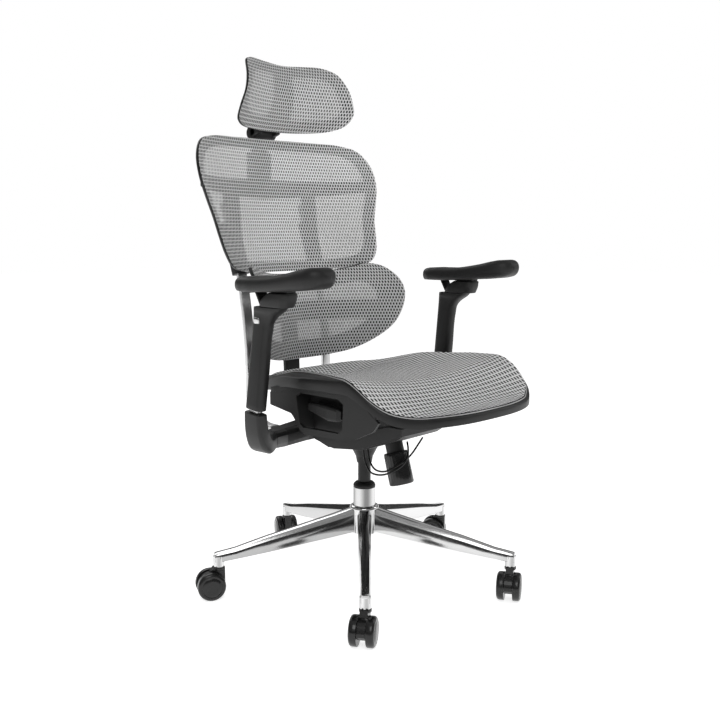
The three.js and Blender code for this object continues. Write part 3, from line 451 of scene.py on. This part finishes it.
def closed_outline(half, count):
    """Evenly spaced points on a smooth closed curve through the half's points and their mirror images."""
    points = [np.array(p, float) for p in half] + [np.array((-u, v), float) for u, v in half[-2:0:-1]]
    n = len(points)
    dense = []
    for i in range(n):
        p0, p1, p2, p3 = (points[(i + k) % n] for k in (-1, 0, 1, 2))
        t01, t12, t23 = (max(1e-6, np.linalg.norm(b - a) ** 0.5) for a, b in ((p0, p1), (p1, p2), (p2, p3)))
        m1 = (p1 - p0) / t01 - (p2 - p0) / (t01 + t12) + (p2 - p1) / t12
        m2 = (p2 - p1) / t12 - (p3 - p1) / (t12 + t23) + (p3 - p2) / t23
        m1, m2 = m1 * t12, m2 * t12
        for k in range(24):
            t = k / 24
            cubic, square = 2 * p1 - 2 * p2 + m1 + m2, -3 * p1 + 3 * p2 - 2 * m1 - m2
            dense.append(cubic * t ** 3 + square * t ** 2 + m1 * t + p1)
    dense = np.array(dense + [dense[0]])
    lengths = np.concatenate([[0], np.cumsum(np.linalg.norm(np.diff(dense, axis=0), axis=1))])
    wanted = np.linspace(0, lengths[-1], count, endpoint=False)
    return np.stack([np.interp(wanted, lengths, dense[:, k]) for k in (0, 1)], 1)


def inset(outline, margin):
    low, high = outline.min(0), outline.max(0)
    centre, size = (low + high) / 2, (high - low) / 2
    return centre + (outline - centre) * (1 - margin / size)


def smooth(x, low, high):
    t = min(1, max(0, (x - low) / (high - low)))
    return t * t * (3 - 2 * t)


# ------------------------------------------------------------------ faces shared with the CAD
SKIN = 3
SKIN_GAP = 0.7


def seat_edge_z(y):
    return 453 + 66 * smooth(y, -308, -172) - 0.05 * max(0, y + 120) - 20 * smooth(y, -20, 130)


def seat_z(x, y):
    half_width = 243 - 0.27 * max(0, y + 190)
    across = max(0, 1 - (x / half_width) ** 2)
    return seat_edge_z(y) - 24 * across * smooth(y, -330, -180) * (1 - smooth(y, 60, 152))


def rim_foot(y):
    return seat_edge_z(y) - 22 - 8 * smooth(y, -260, -150)


def back_y(x, z):
    return 240 + 0.33 * (z - 697) - 0.00043 * (z - 697) ** 2 - (0.0016 - 0.0000023 * (z - 700)) * x * x


def lumbar_y(x, z):
    curl = 0.006 * max(0, z - 640) ** 2 * (0.3 + 0.7 * (x / 220) ** 2)
    return 194 + 0.0012 * (z - 575) ** 2 - 0.0027 * x * x + curl


def head_y(x, z):
    return 231 + 0.0065 * (z - 1097) ** 2 - 0.0018 * x * x


SEAT_PLAN = [
    (0, -336), (80, -331), (140, -314), (185, -290), (220, -267), (238, -241), (243, -215), (242, -185),
    (236, -155), (226, -118), (208, -63), (195, 0), (183, 50), (165, 100), (138, 136), (80, 150), (0, 152),
]
RIM_PLAN = [
    (0, -343), (86, -338), (148, -321), (193, -296), (226, -270), (242, -242), (248, -213), (249, -180),
    (249, -145), (247, -100), (243, -50), (235, 0), (225, 40), (205, 93), (175, 134), (130, 155), (70, 162),
    (0, 164),
]
UPPER_BACK = [
    (0, 996), (110, 995), (192, 991), (236, 978), (260, 944), (265, 900), (255, 855), (243, 815),
    (236, 771), (229, 741), (212, 715), (168, 702), (90, 697), (0, 696),
]
LUMBAR = [
    (0, 691), (80, 694), (140, 703), (176, 712), (200, 706), (214, 684), (218, 650), (213, 612),
    (197, 570), (168, 537), (128, 512), (76, 500), (0, 496),
]
HEADREST = [
    (0, 1156), (60, 1160), (104, 1161), (133, 1149), (148, 1118), (159, 1083), (167, 1056), (160, 1032),
    (132, 1019), (70, 1013), (0, 1012),
]


# ------------------------------------------------------------------ woven panels
def arc_length(x, bow):
    """Length along the curve y = bow * x * x from its middle."""
    q = 2 * bow * x
    return 0.5 * x * math.sqrt(1 + q * q) + math.asinh(q) / (4 * bow)


def panel(name, node, body, half, surface, bow, cloth, count=144, rings=24, fineness=1.0):
    """Woven sheet inside an outline, on surface(u, v), with its weave measured along the cloth."""
    outline = closed_outline(half, count)
    centre = (outline.min(0) + outline.max(0)) / 2
    vertices, coords = [], []
    for k in range(rings):
        for u, v in centre + (outline - centre) * (1 - k / rings):
            vertices.append(place(*surface(u, v)))
            coords.append((arc_length(u, bow) * fineness, v * 1.04 * fineness, 0))
    vertices.append(place(*surface(*centre)))
    coords.append((arc_length(centre[0], bow) * fineness, centre[1] * 1.04 * fineness, 0))
    hub, last = rings * count, (rings - 1) * count
    faces = [(last + j, last + (j + 1) % count, hub) for j in range(count)]
    for i in range(rings - 1):
        for j in range(count):
            m = (j + 1) % count
            faces.append((i * count + j, i * count + m, (i + 1) * count + m, (i + 1) * count + j))
    piece = make(name, vertices, faces, cloth, body, (node,), 60)
    attribute = piece.data.attributes.new("weave", "FLOAT_VECTOR", "POINT")
    attribute.data.foreach_set("vector", np.array(coords, np.float32).ravel())
    heights = np.linspace(outline[:, 1].min(), outline[:, 1].max(), 60)
    middle = [np.array(surface(centre[0], v)) for v in heights]
    return piece


SHEET_DEPTH = 1.5  # the cloth lies in the middle of its CAD solid


def face_panel(surface):
    return lambda u, v: (u, surface(u, v) + SHEET_DEPTH, v)


# ------------------------------------------------------------------ frames round the panels
def frame_ring(outline_half, band, depth, face, count=144):
    """Rounded bar round a panel's edge, behind the sheet."""
    outline = closed_outline(outline_half, count)
    inner = inset(outline, band)
    section = [(0, 0.2), (0.03, 0.02), (0.5, 0), (0.97, 0.02), (1, 0.2), (0.99, 0.55), (0.9, 0.82),
               (0.72, 0.98), (0.45, 1.0), (0.2, 0.96), (0.06, 0.85), (0, 0.65)]
    rings = []
    for out, inn in zip(outline, inner):
        ring = []
        for across, deep in section:
            u, v = out + (inn - out) * across
            ring.append((u, face(u, v) + SKIN + SKIN_GAP + deep * depth, v))
        rings.append(ring)
    return loft(rings, True)


def seat_face(x, y):
    return (x, y, seat_z(x, y) - SHEET_DEPTH)


panel("seat_weave", "seat_mesh", "seat", SEAT_PLAN, seat_face, 0.0004, WOVEN_SEAT,
      fineness=0.72)
panel("back_weave", "back_mesh", "upper_back", UPPER_BACK, face_panel(back_y), 0.0013,
      WOVEN)
panel("lumbar_weave", "lumbar_mesh", "lumbar", LUMBAR, face_panel(lumbar_y), 0.0027,
      WOVEN_DENSE)
panel("head_weave", "headrest_mesh", "headrest", HEADREST, face_panel(head_y), 0.0018,
      WOVEN_DENSE)

X, Y, Z = (1, 0, 0), (0, 1, 0), (0, 0, 1)
BACK_BAND, LUMBAR_BAND, HEAD_BAND = 22, 42, 26

Shape().add(*frame_ring(UPPER_BACK, BACK_BAND, 10, back_y)).make(
    "back_frame_moulding", BLACK, "upper_back", "black_plastic", ("back_frame",))

LEAN = math.tan(math.radians(18.5))  # lean of the straight part of the uprights


def slide_y(z):
    return 275 + (z - 712) * LEAN


def sleeve_tube(outer, inner, centres, up):
    """Closed tube with a rounded outside and channel, both (w, h, r), from the first centre to the second."""
    up = np.array(up, float) / np.linalg.norm(up)
    rings = []
    for section, centre in ((outer, centres[0]), (outer, centres[1]), (inner, centres[1]), (inner, centres[0])):
        ring = rounded_ring(*section)
        rings.append([tuple(np.array(centre) + np.array([a, 0, 0]) + b * up) for a, b in ring])
    return loft(rings, True)


def behind_back(x, z, out):
    return (x, back_y(x, z) + SKIN + SKIN_GAP + 14 + out, z)


# Bracket behind the upper back: a wing out to the frame, two legs down to the guides and the headrest's slot.
bracket = Shape()
wing_z = {x: 884 + 0.00016 * x * x for x in range(-246, 247, 41)}
bracket.add(*sweep([(behind_back(x, z, 21 * (1 - (x / 246) ** 2)), 44 - 0.07 * abs(x), 11, Z, Y)
                    for x, z in wing_z.items()]))
bracket.add(*sleeve_tube((60, 26, 7), (46, 11, 2), ((0, 340, 868), (0, 340, 968)), Y))
for x in (-118, 118):
    guide = [(x, slide_y(z), z) for z in (692, 806)]
    bracket.add(*sleeve_tube((40, 24, 7), (27, 11, 3), guide, (0, 1, -LEAN)))
    bracket.add(*sweep([((x, 271, 730), 30, 8, X, (0, 1, -LEAN)), ((x, 287, 782), 34, 9, X, (0, 1, -LEAN)),
                        ((x, 293, 830), 38, 9, X, (0, 1, -0.1)), (behind_back(x, 884, 16), 46, 10, X, Y)]))
bracket.make("back_bracket_moulding", BLACK, "upper_back", "black_plastic", ("back_bracket",))

lumbar = Shape().add(*frame_ring(LUMBAR, LUMBAR_BAND, 14, lumbar_y))
lumbar.add(*sweep([((x, lumbar_y(x, 605) + SKIN + 9.3 + 5 - abs(x) / 31, 605), 46, 9, Z, (-x / 240, 1, 0))
                   for x in (-186, -125, -65, 0, 65, 125, 186)]))
for x in (-38, 38):
    lumbar.add(*sweep([((x, y, 604), 8, h, X, Z) for y, h in ((200, 20), (224, 20), (248, 18))]))
lumbar.make("lumbar_frame_moulding", BLACK, "lumbar", "black_plastic", ("lumbar_frame",))

HEAD_PIVOT = (330, 1012)
head = Shape().add(*frame_ring(HEADREST, HEAD_BAND, 7, head_y))
head.add(*sweep([((0, 306, 1018), 66, 13, X, (0, 1, 0.4)), ((0, 284, 1033), 66, 11, X, (0, 1, 0.6)),
                 ((0, 259, 1060), 60, 9, X, (0, 1, 0.35)), ((0, 250, 1096), 56, 8, X, Y),
                 ((0, 257, 1140), 48, 8, X, (0, 1, -0.4))]))
for side in (-1, 1):
    ear = soft_profile([(0, -6.5), (15, -6.5), (15, 6.5), (0, 6.5)], 1.5)
    head.add(*turned(ear, 48, (side * 27, *HEAD_PIVOT), X))
    head.add(*sweep([((side * 27, 332, 1013), 13, 26, X, Z), ((side * 27, 302, 1019), 13, 20, X, Z)]))
head.make("headrest_frame_moulding", BLACK, "headrest", "black_plastic", ("headrest_frame",))

# Seat rim: its top follows the woven edge, its side flares out and down with a rolled foot.
crest = closed_outline(SEAT_PLAN, 160)
crest_inner, crest_middle = inset(crest, 20), inset(crest, 15)
flare = closed_outline(RIM_PLAN, 160)
rim_rings = []
for (cx, cy), (ix, iy), (mx, my), (ox, oy) in zip(crest, crest_inner, crest_middle, flare):
    top = seat_z(cx, cy) - SKIN - SKIN_GAP
    shoulder, foot = seat_edge_z(oy) - 9, rim_foot(oy)
    lip = top * 0.35 + shoulder * 0.65
    rim_rings.append([
        (cx, cy, top), (cx * 0.97 + ix * 0.03, cy * 0.97 + iy * 0.03, top + 0.3),
        (ix, iy, seat_z(ix, iy) - SKIN - SKIN_GAP), (ix, iy, seat_z(ix, iy) - 18),
        (mx, my, seat_z(mx, my) - 27), ((mx + ox) / 2, (my + oy) / 2, foot - 1.5),
        (ox * 0.985 + mx * 0.015, oy * 0.985 + my * 0.015, foot - 0.6), (ox, oy, foot + 1.2),
        (ox, oy, (foot + shoulder) / 2), (ox, oy, shoulder - 1.5),
        (ox * 0.9 + cx * 0.1, oy * 0.9 + cy * 0.1, shoulder * 0.9 + top * 0.1 + 0.8),
        (ox * 0.5 + cx * 0.5, oy * 0.5 + cy * 0.5, lip + 1.5),
    ])
Shape().add(*loft(rim_rings, True)).make("seat_rim_moulding", BLACK, "seat", "black_plastic", ("seat_rim",), 50)

# Piping in the groove between the cloth and the rim.
PIPING_R = 1.1
piping = []
for (cx, cy), (ox, oy) in zip(crest, flare):
    out = np.array([ox - cx, oy - cy]) / (math.hypot(ox - cx, oy - cy) + 1e-9)
    z = seat_z(cx, cy) - SKIN - 0.9
    turns = np.linspace(0, 2 * math.pi, 10, False)
    bead = [(2.4 + PIPING_R * math.cos(t), PIPING_R * math.sin(t)) for t in turns]
    piping.append([(cx + out[0] * a, cy + out[1] * a, z + b) for a, b in bead])
Shape().add(*loft(piping, True)).make("seat_piping", PIPING, "seat", "grey_mesh", (), 60)


def skirt_top(y):
    return min(rim_foot(y), seat_edge_z(y) - 27) - 7


# Side bands that close the shell up to the rim's foot.
for side, sign in (("left", 1), ("right", -1)):
    band = []
    for y in (-246, -225, -205, -180, -150, -110, -60, -10, 43):
        low, high = skirt_top(y) - 3, rim_foot(y) + 3
        band.append(((sign * 229, y, (low + high) / 2), 5.2, high - low, X, Z, 1.5))
    Shape().add(*sweep(band, 5, 1)).make(f"skirt_{side}_band", BLACK, "seat", "black_plastic")

# ------------------------------------------------------------------ base and column
STEM_CIRCLE, STAR_TURN = 325, -136.3


def star_arm_ring(radius, z0, z1, foot, top):
    """Section of a star arm: flat crown, polished chamfers, sides drawn in to the foot."""
    drop = 0.22 * (z1 - z0)
    half = foot / 2
    crown = [(half - 0.8, z0), (half, z0 + 0.8), (half, z1 - drop - 1), (half - 0.7, z1 - drop + 0.3),
             (top / 2 + 0.8, z1 - 0.5), (top / 2 - 0.6, z1)]
    return [(radius, -v, z) for v, z in crown] + [(radius, v, z) for v, z in crown[::-1]]


def spun(vertices, degrees, centre=(0, 0)):
    c, s = math.cos(math.radians(degrees)), math.sin(math.radians(degrees))
    return [(centre[0] + x * c - y * s, centre[1] + x * s + y * c, z) for x, y, z in vertices]


star = Shape()
arm_rows = [  # radius, foot's height, top's height, width of the foot, width of the crown
    (24, 134, 186, 31, 20), (70, 127, 174, 28, 18), (145, 117, 156.5, 26, 17), (220, 107, 139.5, 24, 16),
    (290, 99, 121, 21.5, 14.5), (330, 95, 114.6, 20.2, 14), (333.4, 95.6, 113, 17, 12), (334, 97, 111, 13, 9),
]
for k in range(5):
    turn = STAR_TURN + 72 * k
    vertices, faces = loft([star_arm_ring(*row) for row in arm_rows])
    star.add(spun(vertices, turn), faces)
    boss = soft_profile([(5.8, 85), (11.5, 85), (11.5, 108), (5.8, 108), (5.8, 85)], 1)
    vertices, faces = turned([(5.8, 86), *boss[1:-1], (5.8, 107)], 40, (STEM_CIRCLE, 0, 0))
    star.add(spun(vertices, turn), faces)
hub = [(19.3, 130.4), (31, 130), (32, 131), (32, 184), (31.5, 187), (29.5, 189.4), (28, 190), (25.6, 190),
       (24.8, 189.2), (24.8, 150.2)]
star.add(*turned(hub, 96, hollow=True))
star.make("star_casting", CHROME, "base", "polished_aluminium", ("star_base",), 32)

tube = [(0, 127), (19, 127), (19, 134), (24.5, 150), (24.5, 231), (15, 231), (15, 222), (0, 222)]
tube = soft_profile(tube, 0.8)
Shape().add(*turned(tube, 96)).make("column_tube", CYLINDER, "base", "chromed_steel", ("gas_cylinder",))
collar = [(14.5, 231.3), (24, 231.3), (24.5, 234), (24.3, 236), (23, 238.3), (20, 241.4), (17, 243),
          (14.8, 243.3), (14.5, 243.0)]
Shape().add(*turned(collar, 96, hollow=True)).make(
    "column_collar", BLACK, "base", "black_plastic", ("cylinder_collar",))
rod = soft_profile([(0, 168), (14, 168), (14, 318), (12, 352), (0, 352)], 0.8)
Shape().add(*turned(rod, 72)).make("column_piston", CASTING, "lift", "black_casting", ("gas_piston",))

KNOB_TILT = 16
knob_rings = [(0, -79.4), (14, -79.4), (17, -80), (22.5, -80), (25.2, -79), (26.4, -76.5), (26.4, -60),
              (26, -18), (25.5, -13), (24, -10), (20.8, -10), (20.5, -12), (20.5, -38), (0, -38)]
KNOB_SIDES, FLUTES, FLUTE_DEPTH = 96, 24, 0.7
rings = []
for r, z in knob_rings:
    ring = []
    for j in range(KNOB_SIDES):
        t = 2 * math.pi * j / KNOB_SIDES
        fluted = -72 < z < -17 and r > 21
        inner = r - (0.5 * FLUTE_DEPTH * (1 + math.cos(FLUTES * t)) if fluted else 0)
        ring.append((inner * math.cos(t), inner * math.sin(t), z))
    rings.append(ring)
vertices, faces = loft(rings)
tilt = math.radians(KNOB_TILT)
vertices = [(x, y * math.cos(tilt) + z * math.sin(tilt) - 88, -y * math.sin(tilt) + z * math.cos(tilt) + 333)
            for x, y, z in vertices]
Shape().add(vertices, faces).make("knob_moulding", NYLON, "tension_knob", "black_plastic", ("tension_knob",))

# ------------------------------------------------------------------ castors
WHEEL_R, HALF_GAP, TRAIL, CASTOR_FOOT = 30, 9, 18, 17  # the last is the floor above the drawing's datum
AXLE_Z = WHEEL_R * math.cos(math.pi / 24)
CASTOR_TURNS = (-148.5, -151.4, 118, 60, 151.6)
wheel_profile = [(0, 17.6), (12, 17.2), (20, 16.2), (20.8, 15.6), (21.6, 16.1), (25, 15.9), (27.6, 14.6),
                 (29.3, 12.4), (29.8, 10.6), (29.8, 1), (29.2, 0.1), (4.4, 0.1), (4.4, 12.6), (0, 12.6)]
for k, turn in enumerate(CASTOR_TURNS):
    direction = math.radians(STAR_TURN + 72 * k)
    centre = (STEM_CIRCLE * math.cos(direction), STEM_CIRCLE * math.sin(direction))
    for name, sign in (("left", 1), ("right", -1)):
        vertices, faces = turned(wheel_profile, 72, (0, 0, 0), (0, sign, 0))
        vertices = [(x + TRAIL, y + sign * HALF_GAP, z + AXLE_Z + CASTOR_FOOT) for x, y, z in vertices]
        wheel = f"wheel_{name}_{k + 1}"
        Shape().add(spun(vertices, turn, centre), faces).make(
            f"{wheel}_moulding", NYLON, wheel, "castor_nylon", (f"castor_{wheel}",))

# ------------------------------------------------------------------ uprights, arms and pads
def upright_station(y, z, degrees, w=26, h=10):
    t = math.radians(degrees)
    return ((118, y, z), w, h, X, (0, math.cos(t), -math.sin(t)), 3.4)


upright = Shape().add(*sweep([
    upright_station(161, 352, 80, 26, 20), upright_station(197, 358, 66, 26, 14), upright_station(228, 382, 32),
    upright_station(240, 420, 7), upright_station(241, 480, 0), upright_station(244, 545, 5),
    upright_station(251, 605, 9), upright_station(slide_y(684), 684, 18.5),
    upright_station(slide_y(850), 850, 18.5)], 8))

ARM_LEAN, ARM_TOE = -0.12, -0.03


def arm_x(z):
    return 290 + ARM_TOE * (z - 440)


def arm_y(z):
    return 20 + ARM_LEAN * (z - 440)


def arm_station(z, w, h, extra=0, side=(0, 1, 0.12)):
    return ((arm_x(z), arm_y(z) + extra, z), w, h, side, X, 0.42 * min(w, h))


elbow = Shape().add(*sweep([
    ((205.3, 75, 358), 44, 36, Y, Z), ((234, 59, 356), 50, 37, Y, (-0.15, 0, 1)),
    ((258, 46, 367), 52, 34, (0, 1, -0.1), (-0.58, 0, 0.82)),
    ((275, 34, 387), 50, 29, (0, 1, -0.1), (-0.88, 0, 0.46)),
    ((285, 26, 411), 48, 27, (0, 1, -0.1), (-1, 0, 0.1)),
    ((290, arm_y(434), 434), 46, 27, (0, 1, 0.12), (-1, 0, 0))], 8))
post = Shape().add(*sweep([arm_station(434.3, 30, 14), arm_station(500, 30, 14), arm_station(560, 30, 14)]))
sleeve_stations = [
    arm_station(441, 45, 26), arm_station(520, 45, 26), arm_station(598, 45, 26), arm_station(618, 48, 27, -1.5),
    arm_station(631, 59, 30, -7), arm_station(639, 75, 35, -15.5, Y), arm_station(645, 80, 36, -18, Y),
]
sleeve = Shape().add(*sweep(sleeve_stations, 7))
TRIGGER_Y, TRIGGER_FACE = arm_y(618) + 5, arm_x(618) + 13
trigger = Shape().add(*sweep([
    ((TRIGGER_FACE + out, TRIGGER_Y, 618), w, w - 2, Y, Z, 3)
    for out, w in ((-1.4, 16), (1.2, 15), (3.4, 13))], 3, 0.6))
HEAD_X = arm_x(645)
carrier = Shape().add(*sweep([
    ((HEAD_X, -38, 645.3), 78, 36, Y, X, 15), ((HEAD_X, -43, 657), 76, 40, Y, X, 14),
    ((HEAD_X, -56, 673), 54, 40, Y, X, 12)]))
carrier.add(*sweep([((HEAD_X, -6, 648), 7, 26, Y, X), ((HEAD_X, 8, 673), 7, 26, Y, X)]))
carrier.add(*sweep([((HEAD_X, -80, 676), 24, 5, X, Z), ((HEAD_X, -30, 676), 24, 5, X, Z)]))


def pad_shape():
    """Soft pad: rounded and dished on top, flat below with a channel left for the carrier."""
    rows = [(56.8, 686, 14, 7), (55.6, 686, 32, 15), (51, 686, 54, 25), (39, 687, 72, 31), (15, 688, 82, 30),
            (-24, 689, 84, 29), (-66, 692, 84, 31), (-108, 697, 84, 35), (-143, 702, 81, 40),
            (-162, 704.5, 73, 39), (-174, 705.5, 60, 34),
            (-181, 706, 45, 26), (-185, 706, 30, 17), (-186.8, 706, 14, 8)]
    stations = [((HEAD_X + 3 - 0.03 * (y + 65), y, z), w, h, X, Z, h * 0.45) for y, z, w, h in rows]
    vertices, faces = sweep(stations, 6, 0.2)
    out = []
    for x, y, z in vertices:
        across = (x - HEAD_X - 3) / 42
        dish = 1.6 * max(0, 1 - across * across) * smooth(z, 690, 700) * (1 - smooth(-y, 120, 175))
        floor_z = 673.6 if abs(x - HEAD_X) > 13 or y > 4 or y < -114 else 679.8
        out.append((x, y, max(z - dish, floor_z if -112 < y < 62 else z - dish)))
    return out, faces


pad = Shape().add(*pad_shape())
for side in ("left", "right"):
    def sided(shape):
        return shape if side == "left" else shape.mirrored()

    sided(upright).make(
        f"upright_{side}_extrusion", BRUSHED, "back", "polished_aluminium", (f"upright_{side}",))
    sided(elbow).make(f"elbow_{side}_moulding", BLACK, "back", "black_plastic", (f"arm_elbow_{side}",))
    sided(post).make(f"post_{side}_bar", BRUSHED, "back", "polished_aluminium", (f"arm_post_{side}",))
    sided(sleeve).make(
        f"sleeve_{side}_moulding", BLACK, f"arm_sleeve_{side}", "black_plastic", (f"arm_sleeve_{side}",))
    sided(trigger).make(
        f"trigger_{side}_button", CHROME, f"arm_trigger_{side}", "polished_aluminium", (f"arm_trigger_{side}",))
    sided(carrier).make(
        f"carrier_{side}_moulding", BLACK, f"pad_carrier_{side}", "black_plastic", (f"pad_carrier_{side}",))
    cushion = sided(pad).make(
        f"pad_{side}_cushion", SKIN_BLACK, f"arm_pad_{side}", "pad_foam", (f"arm_pad_{side}",), 75)

# ------------------------------------------------------------------ cables
CABLE_R = 2
CABLES = {
    "front": [(38, -134, 355), (23, -134, 342), (2, -132, 323), (-18, -127, 310), (-31, -114, 298),
              (-40, -100, 290), (-41, -81, 287), (-37, -63, 289), (-32, -46, 302), (-27, -36, 325)],
    "rear": [(10, -115, 347), (0, -126, 337), (-12, -135, 322), (-25, -133, 306), (-38, -118, 292),
             (-48, -100, 284), (-49, -78, 281), (-43, -56, 283), (-38, -39, 298), (-34, -29, 324)],
}
for name, route in CABLES.items():
    centres = through(route, 10)
    rings = []
    side = np.array([1.0, 0, 0])
    for i, centre in enumerate(centres):
        along = centres[min(i + 1, len(centres) - 1)] - centres[max(i - 1, 0)]
        along /= np.linalg.norm(along)
        side = side - along * side.dot(along)
        side /= np.linalg.norm(side)
        up = np.cross(along, side)
        turns = np.linspace(0, 2 * math.pi, 16, False)
        rings.append([tuple(centre + CABLE_R * (math.cos(t) * side + math.sin(t) * up)) for t in turns])
    Shape().add(*loft(rings)).make(
        f"cable_{name}_sheath", BLACK, "mechanism", "black_plastic", (f"control_cable_{name}",), 60)

# ------------------------------------------------------------------ CAD nodes that stay
KEPT = {
    "mechanism_housing": CASTING, "mechanism_cover": BLACK, "seat_carriage": STEEL, "seat_shell": BLACK,
    "recline_axle": STEEL,
    "back_yoke": CASTING, "spine": BLACK, "headrest_post": BLACK,
    "seat_lever_right": BLACK, "seat_lever_left": BLACK,
    **{f"castor_hood_{k}": NYLON for k in range(1, 6)}, **{f"castor_stem_{k}": STEEL for k in range(1, 6)},
}
for name, material in KEPT.items():
    node = bpy.data.objects[name]
    node.data.materials.clear()
    node.data.materials.append(material)
    bevel = node.modifiers.new("edges", "BEVEL")
    bevel.width = 0.0009
    bevel.segments = 2
    bevel.limit_method = "ANGLE"
    bevel.angle_limit = math.radians(35)
    bevel.use_clamp_overlap = True
    bevel.harden_normals = False
    shade(node, 38)
